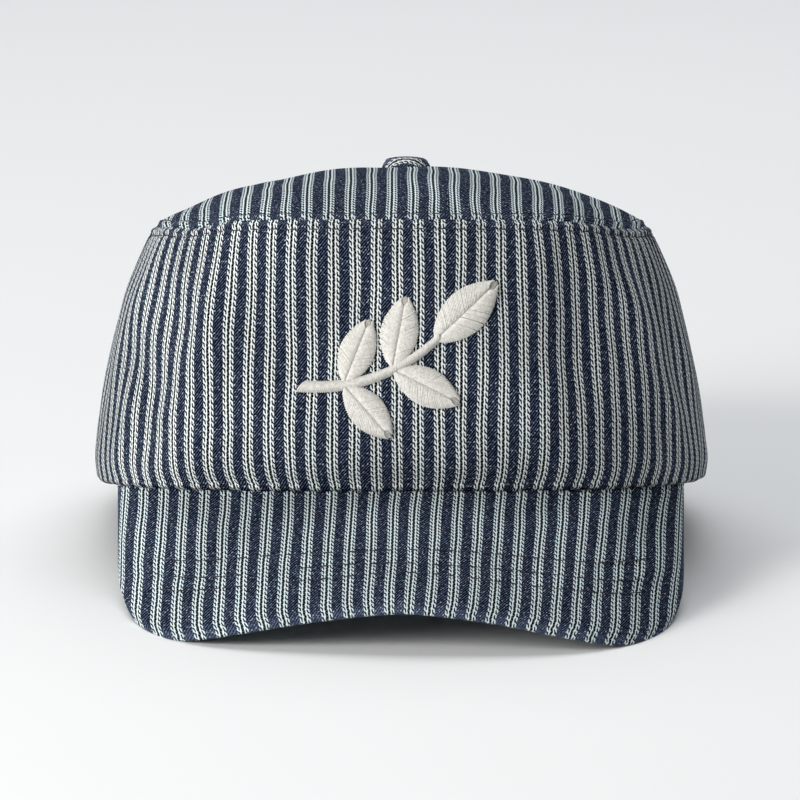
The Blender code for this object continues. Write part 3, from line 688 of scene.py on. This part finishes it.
pickIn = spreadPick(len(wallOuter), crown["insideRows"])
wallInner = wallOuter[pickIn] - wallNormals[pickIn] * crown["cloth"]
wallInner[-1] = wallOuter[-1] - seamMitre
aboveHem = np.maximum(climb - climb[len(hemAngles)], 0)
hemPull = crown["hemPull"] * np.tanh(wallRun / crown["hemPullSpan"]) * np.exp(-aboveHem / crown["hemPullReach"])
hemPull = hemPull * (1 - bell(np.abs(shares) - 1, crown["hemPullBack"]))
widest = int(np.argmax(wallRun[:, -1]))
# below the widest row no stripe turns back at the hem
clothRun = np.where(np.arange(len(wallRun))[:, None] < widest, wallRun[widest], wallRun)
wallUv = np.stack([clothRun + hemPull, np.repeat(climb, wallRun.shape[1], axis=1)], axis=-1)
# painted shade where the hem turns under (values below 0), real wear beside the seam (values above 0)
wallWearAndShade = -np.clip(1 - climb / climb[len(hemAngles) - 1], 0, 1) ** crown["hemShadeFullness"]
wallWearAndShade = wallWearAndShade + wornBeside(belowSeam, crown["wornSeam"])

crownStripe = stripedCloth("crownStripe", crown["stripePhase"])
crownWall = gridObject(
    "crown_wall", toRest(np.concatenate([wallOuter, wallInner[::-1]])),
    np.concatenate([wallUv, wallUv[pickIn][::-1]]), crownStripe, closeRows=True,
    wearAndShade=np.concatenate([wallWearAndShade * np.ones_like(runs), np.zeros_like(wallInner[..., 0])]),
)

thickDown = np.array([0, 0, crown["cloth"]])
pickTop = spreadPick(len(topOuter), topPanel["insideRows"])
topInner = topOuter[pickTop] - topNormals[pickTop] * crown["cloth"]
topInner[0] = topOuter[0] - seamMitre
topInner[-1] = topOuter[-1] - thickDown
topShell = np.concatenate([topInner[::-1], topOuter])
topUv = topGrid[..., :2]
seatMiddle = np.array([topMiddle[0], topMiddle[1], seatUp])
# the top panel's threads carry a painted cool tint for the light falling from above
topStripe = stripedCloth("topStripe", topPanel["stripePhase"], threads="threadCoolPaintedLight")
topCloth = gridObject(
    "top_cloth", toRest(topShell), np.concatenate([topUv[pickTop][::-1], topUv]), topStripe,
    wearAndShade=np.concatenate([np.zeros_like(topInner[..., 0]), wornBeside(insideOff, topPanel["wornSeam"])]),
    caps=[(0, toRest(seatMiddle - thickDown), topMiddle), (len(topShell) - 1, toRest(seatMiddle), topMiddle)],
)
print("crown and top panel done")

headBand = {
    "height": 0.0300, "thickness": 0.0015, "lift": 0.0012, "lean": 0.0010, "gap": 0.0004, "columns": 480,
    "round": 0.02, "roundSteps": 7, "wave": 0.00018, "waves": 57,
    "stitchRows": (0.12, 0.88), "stitchLift": 0.0001,
}


def bandLine(across, up):
    # plan points at a share of the band's thickness and height, and half the outline's length
    inset = crown["hemTurn"] + headBand["gap"] + across * headBand["thickness"] + up * headBand["lean"]
    return wallOutline(wallRows[0, 0], bandShares, inset)


bandShares = aroundShares(headBand["columns"])
roundTurns = np.radians(np.linspace(-90, 90, headBand["roundSteps"]))
sides = np.linspace(0.03, 0.96, 16)
bandLoop = [(0.0, up) for up in sides]
bandLoop += [(0.5 - 0.5 * math.sin(a), 1 - headBand["round"] * (1 - math.cos(a))) for a in roundTurns[::-1]]
bandLoop += [(1.0, up) for up in sides[::-1]]
bandLoop += [(0.5 - 0.5 * math.sin(a), headBand["round"] * (1 - math.cos(a))) for a in roundTurns]
bandRows, bandUvRows = [], []
for across, up in bandLoop:
    flat, half = bandLine(across, up)
    wave = headBand["wave"] * np.sin(bandShares * headBand["waves"]) * (0.3 + 0.7 * up)
    z = np.full(len(flat), headBand["lift"] + up * headBand["height"]) + wave * (up > 0.5)
    bandRows.append(np.concatenate([flat, z[:, None]], axis=-1))
    clothUp = up * headBand["height"] + across * headBand["thickness"]
    bandUvRows.append(np.stack([bandShares * half, np.full(len(flat), clothUp)], axis=-1))
bandGrid = np.array(bandRows)[:, :-1]
band = gridObject("band_ring", toRest(bandGrid), np.array(bandUvRows), bandTwill("bandTwill"), closeRows=True)

peak = {
    "width": 0.1654, "taper": 0.031, "length": 0.0620, "squareness": 6.6, "thickness": 0.0026,
    "slopeCentre": 26.3, "slopeSide": 32.7, "slopeBlend": 0.75, "bow": 3.0, "drop": 0.0004,
    "flange": 0.0034, "flangeUp": 0.00002, "tuck": 0.0015, "edgeRound": 0.0012, "lipCloth": 0.0011,
    "lipSink": 0.0007, "lipWidth": 0.0024,
    "rootRise": 0.00078, "rootBlend": 0.0016, "rootStand": 0.6,        # the root closes on the crown's hem
    "columns": 260, "rows": 74, "edgeRows": 14, "edgeFrom": 0.90, "lipSteps": 8, "stripePhase": -0.0018,
    "stitchRows": (0.53, 0.645, 0.735), "stitchReach": (0.86, 0.84, 0.82), "stitchRise": (0.030, 0.022, 0.012),
    "stitchSink": 0.00018, "stitchWidth": 0.0007, "stitchSide": 0.070, "stitchLift": 0.00010,
    "stitch": {"pitch": 0.0034, "length": 0.0029, "radius": 0.00020},
    "ripples": [(0.00034, 31, 0.030), (0.00016, 37, 0.012)], "rippleEdge": 0.008,
    "lean": (0.0020, 0.0030, 0.0012), "leanSpan": 0.072,
    "edgePull": 0.0008, "edgePullSpan": 0.028, "edgePullReach": 0.0045,
    "wornEdge": 0.9, "wornReach": 0.0014, "wornLip": 0.75,
}


def peakRoot(x, inset):
    width, front, _, square = wallRows[0, 1:]
    halfWidth = width * crown["width"] / 2 - inset
    reach = front * crown["frontReach"] - inset
    power = square * (1 - crown["cornerSkew"] * np.sign(x))
    share = np.clip(1 - np.abs(x / halfWidth) ** power, 0, 1)
    return np.stack([x, -reach * share ** (1 / power)], axis=-1)


def peakPoint(share, along):
    # a point of the peak's top: share from -1 on -X to 1, along from the crown (0) to the edge (1)
    x = share * (peak["width"] / 2)
    root = peakRoot(x, peak["tuck"])
    middleRoot = peakRoot(np.zeros_like(x), peak["tuck"])
    blend = (1 - np.cos(math.pi * np.abs(share) ** peak["slopeBlend"])) / 2
    slope = np.radians(peak["slopeCentre"] + (peak["slopeSide"] - peak["slopeCentre"]) * blend)
    square = peak["squareness"] * (1 - crown["cornerSkew"] * np.sign(share))
    setback = root[..., 1] - middleRoot[..., 1]
    reach = peak["length"] * np.sqrt(np.clip(1 - np.abs(share) ** square, 0, 1)) + setback * np.cos(slope)
    run = reach * along
    tilt = slope + math.radians(peak["bow"]) * (along - 1)
    y = root[..., 1] - run * np.cos(tilt)
    z = peak["rootRise"] * np.exp(-run / peak["rootBlend"]) - peak["drop"] - run * np.sin(tilt)
    return np.stack([x * (1 - peak["taper"] * run / peak["length"]), y, z], axis=-1), run, reach


peakShares = np.sin(np.radians(np.linspace(-90, 90, peak["columns"])))
alongs = np.concatenate([
    np.linspace(0, peak["edgeFrom"], peak["rows"] - peak["edgeRows"], endpoint=False),
    np.linspace(peak["edgeFrom"], 1.0, peak["edgeRows"]),
])
shareGrid, alongGrid = np.meshgrid(peakShares, alongs)
peakTop, peakRun, peakReach = peakPoint(shareGrid, alongGrid)
flangeIn = peak["tuck"] + peak["flange"]
flangeLine = peakRoot(peakShares * (peak["width"] / 2) * (1 - flangeIn / (peak["width"] / 2)), flangeIn)
flangeLine = np.concatenate([flangeLine, np.full((len(flangeLine), 1), peak["flangeUp"])], axis=-1)
peakUpper = np.concatenate([flangeLine[None], peakTop])
peakRun = np.concatenate([np.full((1, len(peakShares)), -peak["flange"]), peakRun])
peakReach = np.concatenate([peakReach[:1], peakReach])
peakNormals = facing(gridNormals(peakUpper, closed=False), 2)
peakNormals[0] = peakNormals[1] = unit(peakNormals[2] + np.array([0, 0, peak["rootStand"]]))
peakNormals[:, [0, -1]] = peakNormals[:, [1, -2]]

sideOff = (peak["width"] / 2) * (1 - np.abs(np.concatenate([shareGrid[:1], shareGrid])))
edgeOff = np.minimum(np.maximum(peakReach - peakRun, 0), sideOff)
peakX = peakUpper[..., 0]
peakRelief = -peak["lipSink"] * np.exp(-edgeOff / peak["lipWidth"])
alongAll = np.concatenate([np.zeros_like(alongGrid[:1]), alongGrid])
stitched = np.abs(peakX) < peak["stitchSide"]
for row in peak["stitchRows"]:
    off = (alongAll - row) * np.maximum(peakReach, 0.01)
    peakRelief = peakRelief - peak["stitchSink"] * bell(off, peak["stitchWidth"]) * stitched
for depth, seed, wavelength in peak["ripples"]:
    waves = depth * ripple(peakX, peakRun, seed, wavelength)
    peakRelief = peakRelief + waves * np.clip(edgeOff / peak["rippleEdge"], 0, 1)
peakRelief[:3] = np.minimum(peakRelief[:3], 0)
peakCover = peakUpper + peakNormals * peakRelief[..., None]
peakUnder = peakUpper - peakNormals * peak["thickness"]

aside = peakX / peak["leanSpan"]
lean = peak["lean"][0] + peak["lean"][1] * aside + peak["lean"][2] * aside ** 2
edgeShare = np.clip(1 - edgeOff / peak["edgePullReach"], 0, 1) ** 2
edgePull = peak["edgePull"] * np.tanh(peakX / peak["edgePullSpan"]) * edgeShare
peakUv = np.stack([peakX + lean * np.clip(peakRun, 0, 1) / peak["length"] + edgePull, -peakRun], axis=-1)

# the border of the grid, once round, and the rolled edge that joins the top to the underside
rowCount, columnCount = peakUpper.shape[:2]
border = [(0, c) for c in range(columnCount)] + [(r, columnCount - 1) for r in range(1, rowCount)]
border += [(rowCount - 1, c) for c in range(columnCount - 2, -1, -1)] + [(r, 0) for r in range(rowCount - 2, 0, -1)]
inside = [(min(max(r, 1), rowCount - 2), min(max(c, 2), columnCount - 3)) for r, c in border]
borderRow, borderColumn = np.array(border).T
insideRow, insideColumn = np.array(inside).T
topEdge, underEdge = peakCover[borderRow, borderColumn], peakUnder[borderRow, borderColumn]
away = unit(peakUpper[borderRow, borderColumn] - peakUpper[insideRow, insideColumn])
bulge = np.where(borderRow == 0, 0.0, peak["edgeRound"])
outV = np.where(borderRow == 0, 1.0, -1.0) * np.sqrt(np.clip(1 - away[:, 0] ** 2, 0, 1))
outUv = np.stack([away[:, 0], outV], axis=-1)         # the cloth's own way over the edge
centre = (topEdge + underEdge) / 2
lipPoints, lipUvs = [], []
for step in range(1, peak["lipSteps"]):
    angle = math.pi * step / peak["lipSteps"]
    lipPoints.append(centre + (topEdge - centre) * math.cos(angle) + away * (bulge * math.sin(angle))[:, None])
    lipUvs.append(peakUv[borderRow, borderColumn] + outUv * angle * peak["lipCloth"])
allPoints = np.concatenate([peakCover.reshape(-1, 3), peakUnder.reshape(-1, 3), np.concatenate(lipPoints)])
allUv = np.concatenate([peakUv.reshape(-1, 2), peakUv.reshape(-1, 2), np.concatenate(lipUvs)])
count = rowCount * columnCount
topFaces, _ = gridFaces(rowCount, columnCount, False, False)
borderIndex = borderRow * columnCount + borderColumn
ringIndex = [2 * count + i * len(border) + np.arange(len(border)) for i in range(peak["lipSteps"] - 1)]
ringIndex = [borderIndex] + ringIndex + [count + borderIndex]
lipFaces = np.concatenate([
    np.stack([first, second, np.roll(second, -1), np.roll(first, -1)], axis=-1)
    for first, second in zip(ringIndex, ringIndex[1:])
])
peakFaces = [topFaces, topFaces[:, ::-1] + count, lipFaces]
across, onward = (allPoints[topFaces[:, i]] - allPoints[topFaces[:, 0]] for i in (1, 3))
if np.sum(unit(np.cross(across, onward))[:, 2]) < 0:
    peakFaces = [faces[:, ::-1] for faces in peakFaces]
peakFaces = np.concatenate(peakFaces)
# the peak's threads carry a painted cool tint for the light falling from above
peakStripe = stripedCloth("peakStripe", peak["stripePhase"], 0.8, 0.88, "threadCoolPaintedLight")
peakWear = np.zeros(len(allPoints))
peakWear[:count] = (peak["wornEdge"] * np.exp(-edgeOff / peak["wornReach"])).reshape(-1)
peakWear[2 * count:] = peak["wornLip"]
peakCloth = meshObject("peak_cover", toRest(allPoints), peakFaces, allUv[peakFaces], peakStripe, peakWear)
print("peak done")

button = {
    "diameter": 0.0144, "height": 0.0036, "lift": 0.0004, "sides": 96, "gathers": 22, "gatherDepth": 0.00016,
    "stripeBack": 0.0060, "warpShare": 0.3, "worn": 0.5, "wornEdge": 1.4, "wornUp": 0.68, "wornWidth": 0.12,
}
# out and up, shares of the radius and height
buttonProfile = np.array([
    (0.97, 0.0), (1.0, 0.08), (0.99, 0.22), (0.955, 0.36), (0.915, 0.48), (0.885, 0.57), (0.875, 0.64),
    (0.85, 0.72), (0.79, 0.80), (0.70, 0.865), (0.59, 0.91), (0.47, 0.95), (0.33, 0.975), (0.17, 0.995),
])
angles = np.linspace(0, math.tau, button["sides"], endpoint=False)
around = np.append(angles, math.tau)
buttonSteps = np.diff(np.vstack([buttonProfile, [0, 1]]), axis=0) * [button["diameter"] / 2, button["height"]]
clothReach = np.cumsum(np.hypot(*buttonSteps.T)[::-1])[::-1]              # along the cloth from the crest
creases = button["gatherDepth"] * np.sin(angles * button["gathers"] + 1.3 * np.sin(angles * 4))
buttonFoot = seatUp + button["lift"]
buttonRows, buttonUvRows = [], []
for (out, up), reach in zip(buttonProfile, clothReach):
    radius = button["diameter"] / 2 * out + creases * np.clip(out * 1.6 - 0.9, 0, 1) * (up > 0.02)
    x = topMiddle[0] + radius * np.cos(angles)
    y = topMiddle[1] + radius * np.sin(angles)
    buttonRows.append(np.stack([x, y, np.full_like(x, buttonFoot + up * button["height"])], axis=-1))
    buttonUvRows.append(np.stack([
        topMiddle[1] + reach * np.sin(around), topMiddle[0] + reach * np.cos(around)
    ], axis=-1))
buttonStripe = stripedCloth("buttonStripe", topMiddle[1] - button["stripeBack"], button["warpShare"])
sole, crest = (np.array([*topMiddle, buttonFoot + up]) for up in (0.0, button["height"]))
wornUp = button["wornEdge"] * bell(buttonProfile[:, 1] - button["wornUp"], button["wornWidth"]) + button["worn"]
buttonCover = gridObject(
    "button_cover", toRest(np.array(buttonRows)), np.array(buttonUvRows), buttonStripe,
    wearAndShade=np.repeat(wornUp[:, None], button["sides"], axis=1),
    caps=[(0, toRest(sole), topMiddle[::-1]), (len(buttonRows) - 1, toRest(crest), topMiddle[::-1])],
)

stitch = {
    "pitch": 0.0030, "length": 0.0027, "radius": 0.00021, "leastHalf": 0.44, "mostHalf": 0.53, "seed": 5,
    "lift": 0.00008,
}
navyThread = spunThread("navyThread", (0.004, 0.005, 0.010, 1.0), (0.020, 0.026, 0.045, 1.0), 0.75, 0.05)
rowsOfStitches = stitchTree()


def stitchedAlong(name, lineList, upList, sizes=stitch):
    values = {
        "Pitch": sizes["pitch"], "Stitch Length": sizes["length"], "Thread Radius": sizes["radius"],
        "Least Half": stitch["leastHalf"], "Most Half": stitch["mostHalf"],
        "Seed": stitch["seed"], "Material": navyThread,
    }
    return grown(name, [toRest(line) for line in lineList], rowsOfStitches, values, [up @ capTurn.T for up in upList])


seamLines, seamUps = [], []
for grid, normals, off in ((wallOuter, wallNormals, belowSeam), (topOuter, topNormals, insideOff)):
    row = int(np.argmin(np.abs(off[:, 0] - crown["stitchOff"])))
    line = grid[row] + normals[row] * stitch["lift"]
    seamLines.append(np.concatenate([line, line[:1]]))
    seamUps.append(np.concatenate([normals[row], normals[row][:1]]))
seamStitches = stitchedAlong("seam_stitches", seamLines, seamUps)

peakLines, peakUps = [], []
for rowShare, reachShare, rise in zip(peak["stitchRows"], peak["stitchReach"], peak["stitchRise"]):
    at = np.linspace(-reachShare, reachShare, 160)
    drift = rowShare - rise * np.abs(at / reachShare) ** 3 + 0.006 * np.sin(at * 9 + rowShare * 40)
    line, beside, beyond = (
        peakPoint(at + aside, drift + onward)[0] for aside, onward in ((0, 0), (0.004, 0), (0, 0.01))
    )
    up = facing(unit(np.cross(beside - line, beyond - line)), 2)
    peakLines.append(line + up * peak["stitchLift"])
    peakUps.append(up)
peakStitches = stitchedAlong("peak_stitches", peakLines, peakUps, peak["stitch"])

bandLines, bandUps = [], []
for up in headBand["stitchRows"]:
    flat, _ = bandLine(1 + headBand["stitchLift"] / headBand["thickness"], up)
    z = np.full((len(flat), 1), headBand["lift"] + up * headBand["height"])
    bandLines.append(np.concatenate([flat, z], axis=-1))
    bandUps.append(unit(np.concatenate([-flat, np.zeros((len(flat), 1))], axis=-1)))
bandStitches = stitchedAlong("band_stitches", bandLines, bandUps)
print("stitches done")

sprig = {
    "across": 0.0042, "up": 0.0402, "clear": 0.0002, "length": 0.0620, "rise": 20.0, "bend": 0.0040,
    "stemShare": 0.62, "stemStart": 0.48, "stemWidth": 0.0030, "stemTaper": 0.35, "stemThick": 0.0014,
    "stemLift": 0.0001, "stemSlant": 0.8, "stemPad": 0.9, "padDown": 0.0002, "padFoot": -0.0003,
    "leafWidthShare": 0.48, "leafEdge": 0.0005, "leafRidge": 0.0013, "leafPad": 0.86, "leafPadDown": 0.00010,
    "padRows": 27, "padColumns": 15, "stemRows": 60,
    "thread": 0.00027, "threadStep": 0.00054, "threadSides": 6, "threadPoints": 8, "slant": 0.62,
    "footShare": 0.97, "footBack": 0.02, "shortest": 0.0004, "veinGap": 0.00014, "arch": 0.00010,
    "startDown": 0.00018, "endDown": 0.00030, "wobble": 0.00004, "unevenUp": 0.00002, "seed": 11,
}
# along the stem, turn from it in degrees, length as a share of the sprig's
leaves = [(0.25, 60, 0.32), (0.25, -56, 0.32), (0.62, 54, 0.34), (0.62, -52, 0.34), (0.97, 2, 0.40)]

# a table of the front's surface, from which the flat work reads its place
lookUps = np.linspace(0.05, 0.99, 120)
lookAcross = np.linspace(-0.048, 0.048, 161)
lookGrid = np.array([
    wallLine(up, lookAcross / wallOutline(up, np.array([0.0]))[1])[0] for up in lookUps
])
lookNormals = facing(gridNormals(lookGrid, closed=False), 1, -1)


def onFront(flatPoints):
    # lays flat work (across, up, off) on the front of the crown
    across = (flatPoints[..., 0] + sprig["across"] - lookAcross[0]) / (lookAcross[1] - lookAcross[0])
    height = ((flatPoints[..., 1] + sprig["up"]) / crown["frontHeight"] - lookUps[0]) / (lookUps[1] - lookUps[0])
    c = np.clip(across.astype(int), 0, len(lookAcross) - 2)
    r = np.clip(height.astype(int), 0, len(lookUps) - 2)
    a, b = (across - c)[..., None], (height - r)[..., None]

    def sampled(table):
        low = table[r, c] * (1 - a) + table[r, c + 1] * a
        high = table[r + 1, c] * (1 - a) + table[r + 1, c + 1] * a
        return low * (1 - b) + high * b

    return sampled(lookGrid) + unit(sampled(lookNormals)) * (flatPoints[..., 2:3] + sprig["clear"])


def stemPoint(share):
    run = sprig["length"] * (sprig["stemShare"] * share - sprig["stemStart"])
    sag = -sprig["bend"] * (1 - (2 * share - 1) ** 2)
    slant = math.radians(sprig["rise"])
    tilt = math.atan2(sprig["bend"] * 4 * (2 * share - 1), sprig["length"] * sprig["stemShare"])
    x = run * math.cos(slant) - sag * math.sin(slant)
    y = run * math.sin(slant) + sag * math.cos(slant)
    return x, y, slant + tilt


def stemLine(share, q, wide, thick, slanted=0.0):
    # across the stem at a share of its length, with q from -1 to 1
    x, y, heading = stemPoint(share)
    width = sprig["stemWidth"] / 2 * (1 - sprig["stemTaper"] * share) * wide
    forward = q * width * slanted
    up = sprig["stemLift"] + thick * (1 - np.abs(q) ** 2.4)
    return np.stack([
        x + forward * math.cos(heading) - q * width * math.sin(heading),
        y + forward * math.sin(heading) + q * width * math.cos(heading), up,
    ], axis=-1)


def leafHeight(side, share):
    # padding under the satin: full along the vein, low at the rim and the ends
    body = (1 - np.abs(side) ** 2.2) * np.clip(np.sin(math.pi * share), 0, 1) ** 0.5
    vein = 0.25 * bell(side, 0.10)
    return sprig["leafEdge"] + (sprig["leafRidge"] - sprig["leafEdge"]) * np.clip(body - vein, 0, 1)


def halfWidth(share, length):
    return sprig["leafWidthShare"] * length / 2 * np.clip(np.sin(math.pi * np.clip(share, 0, 1)), 0, 1) ** 0.8


def leafPlace(leaf, along, across, up):
    x, y, heading = stemPoint(leaf[0])
    heading += math.radians(leaf[1])
    return np.stack([
        x + along * math.cos(heading) - across * math.sin(heading),
        y + along * math.sin(heading) + across * math.cos(heading), up,
    ], axis=-1)


rng = np.random.default_rng(sprig["seed"])
padPoints, padFaces, satin = [], [], []


def addPad(ring, ends=()):
    # one closed strip of padding, its faces turned outwards
    start = sum(len(points) for points in padPoints)
    faces, _ = gridFaces(*ring.shape[:2], False, True)
    faces = np.concatenate([faces, *ends])
    local = onFront(ring.reshape(-1, 3))
    padPoints.append(local)
    padFaces.append((faces if signedVolume(local, faces) >= 0 else faces[:, ::-1]) + start)


for leaf in leaves:
    length = leaf[2] * sprig["length"]
    padAlong = (1 - np.cos(np.linspace(0, math.pi, sprig["padRows"]))) / 2
    s, q = np.meshgrid(padAlong, np.linspace(-1, 1, sprig["padColumns"]), indexing="ij")
    wide = np.maximum(halfWidth(s, length), 0.00012) * sprig["leafPad"]
    top = leafPlace(leaf, s * length, q * wide, leafHeight(q, s) - sprig["leafPadDown"])
    low = leafPlace(leaf, s * length, q * wide, np.full_like(s, sprig["padFoot"]))
    ring = np.concatenate([top, low[:, ::-1]], axis=1)
    columns = ring.shape[1]
    far = (len(ring) - 1) * columns
    i = np.arange(sprig["padColumns"] - 1)
    near = np.stack([i, i + 1, columns - 2 - i, columns - 1 - i], axis=-1)
    addPad(ring, [near, far + near[:, [1, 0, 3, 2]]])
    steps = int(length * 1.02 / sprig["threadStep"])
    for side in (-1, 1):
        for i in range(steps):
            foot = (i + 0.5 * (side > 0)) / steps * sprig["footShare"] - sprig["footBack"]
            q = np.linspace(0.0, 1.0, sprig["threadPoints"])
            fuller = 0.75 + 0.25 * math.sin(math.pi * max(foot, 0))
            share = np.minimum(foot + q * sprig["slant"] * sprig["leafWidthShare"] / 2 * fuller, 0.995)
            reach = halfWidth(share, length)
            if reach[-1] < sprig["shortest"]:
                continue
            wobble = rng.normal(0, sprig["wobble"])
            lift = rng.normal(0, sprig["unevenUp"])
            arch = leafHeight(q * side, np.clip(share, 0.02, 1)) + sprig["arch"] * np.sin(math.pi * q) + lift
            arch[0] -= sprig["startDown"]
            arch[-1] -= sprig["endDown"]
            satin.append(leafPlace(leaf, share * length + wobble, side * (sprig["veinGap"] + q * reach), arch))

stemSteps = int(sprig["stemShare"] * sprig["length"] / sprig["threadStep"])
for i in range(-3, stemSteps + 2):
    q = np.linspace(-1, 1, sprig["threadPoints"])
    line = stemLine(i / stemSteps, q, 1.0, sprig["stemThick"], sprig["stemSlant"])
    line[:, 2] += rng.normal(0, sprig["unevenUp"])
    satin.append(line)
q = np.concatenate([np.linspace(-1, 1, 9), np.linspace(1, -1, 3)])
stemRing = np.array([
    stemLine(share, q, sprig["stemPad"], sprig["stemThick"] - sprig["padDown"])
    for share in np.linspace(0, 1, sprig["stemRows"])
])
stemRing[:, 9:, 2] = sprig["padFoot"]
addPad(stemRing)

creamFloss = spunThread("creamFloss", (0.66, 0.635, 0.585, 1.0), (0.86, 0.84, 0.795, 1.0), 0.60, 0.05)
# painted shade: the padding is darker than the floss, so the gaps between the satin threads read dark
shadedCreamPad = spunThread("shadedCreamPad", (0.36, 0.34, 0.30, 1.0), (0.55, 0.53, 0.48, 1.0), 0.85, 0.0)
padPoints, padFaces = np.concatenate(padPoints), np.concatenate(padFaces)
sprigPad = meshObject("sprig_pad", toRest(padPoints), padFaces, padPoints[padFaces][..., [0, 2]], shadedCreamPad)
sprigThreads = grown(
    "sprig_threads", [toRest(onFront(line)) for line in satin], threadTree(),
    {"Thread Radius": sprig["thread"], "Sides": sprig["threadSides"], "Material": creamFloss},
)
print("sprig done")

# each piece, the CAD nodes that it stands for, and its finish
pieces = [
    (crownWall, ["crown_side"], "striped_cloth"), (topCloth, ["top_panel"], "striped_cloth"),
    (peakCloth, ["peak"], "striped_cloth"), (buttonCover, ["top_button"], "striped_cloth"),
    (band, ["head_band"], "band_cloth"), (sprigThreads, ["front_sprig"], "embroidery"),
    (sprigPad, [], "embroidery"), (seamStitches, [], "striped_cloth"), (peakStitches, [], "striped_cloth"),
    (bandStitches, [], "band_cloth"),
]
for piece, nodes, finish in pieces:
    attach(piece, "root")
    if nodes:
        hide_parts(*nodes)

room = {
    "floorHalf": 3.0, "floor": (0.93, 0.93, 0.925, 1.0), "floorDim": 0.985, "floorRough": 0.85,
    "air": (0.90, 0.95, 1.0, 1.0), "airStrength": 0.17, "lightsAim": (0, 0, 0.05),
}
# name, place, size, power, colour
lights = [
    ("key", (-1.17, -1.06, 0.66), 0.7, 25.5, (1.0, 0.99, 0.97)),
    ("fill", (1.4, 0.1, 0.55), 1.0, 0.5, (0.95, 1.0, 0.98)),
    ("back", (0.0, 1.0, 2.1), 2.4, 40.0, (0.96, 0.98, 1.0)),
]


def floorPlane():
    size = room["floorHalf"]
    mesh = bpy.data.meshes.new("floor")
    mesh.from_pydata([(-size, -size, 0), (size, -size, 0), (size, size, 0), (-size, size, 0)], [], [(0, 1, 2, 3)])
    material, tree, shader = newMaterial("paleFloor")
    place = addNode(tree, "ShaderNodeTexCoord", {}).outputs["Object"]
    dim = tuple(v * room["floorDim"] for v in room["floor"][:3]) + (1.0,)
    plugAll(tree, shader, {
        "Base Color": blendColor(tree, noiseOf(tree, place, 6.0, 2.0), dim, room["floor"]),
        "Roughness": room["floorRough"],
    })
    mesh.materials.append(material)
    plane = bpy.data.objects.new("floor", mesh)
    bpy.context.scene.collection.objects.link(plane)
    return plane


floor = floorPlane()
for name, at, size, power, color in lights:
    light = bpy.data.lights.new(name, "AREA")
    light.shape, light.size, light.energy, light.color = "SQUARE", size, power, color
    lamp = bpy.data.objects.new(name, light)
    lamp.location = at
    lamp.rotation_euler = (Vector(room["lightsAim"]) - Vector(at)).to_track_quat("-Z", "Y").to_euler()
    bpy.context.scene.collection.objects.link(lamp)
world = bpy.data.worlds.new("softRoom")
world.use_nodes = True
plugAll(world.node_tree, world.node_tree.nodes["Background"], {"Color": room["air"], "Strength": room["airStrength"]})
bpy.context.scene.world = world
bpy.context.scene.view_settings.view_transform = "Standard"

camera = {"target": (-0.0005, 0.0, 0.0227), "away": 1.6, "down": 2.0, "lens": 240.0, "sensor": 36.0}
down = math.radians(camera["down"])
forward = np.array([0, math.cos(down), -math.sin(down)])
above = np.array([0, math.sin(down), math.cos(down)])
right = np.array([1.0, 0, 0])
spot = capTurn @ (np.array(camera["target"]) - forward * camera["away"]) + np.array(restPose["moved"])
axes = Matrix(np.stack([capTurn @ right, capTurn @ above, -(capTurn @ forward)], axis=-1).tolist())
lens = bpy.data.cameras.new("camera")
lens.lens, lens.sensor_width = camera["lens"], camera["sensor"]
lens.clip_start, lens.clip_end = 0.05, 20.0
viewer = bpy.data.objects.new("camera", lens)
viewer.matrix_world = Matrix.Translation(Vector(spot.tolist())) @ axes.to_4x4()
bpy.context.scene.collection.objects.link(viewer)
bpy.context.scene.camera = viewer
print("stage set")
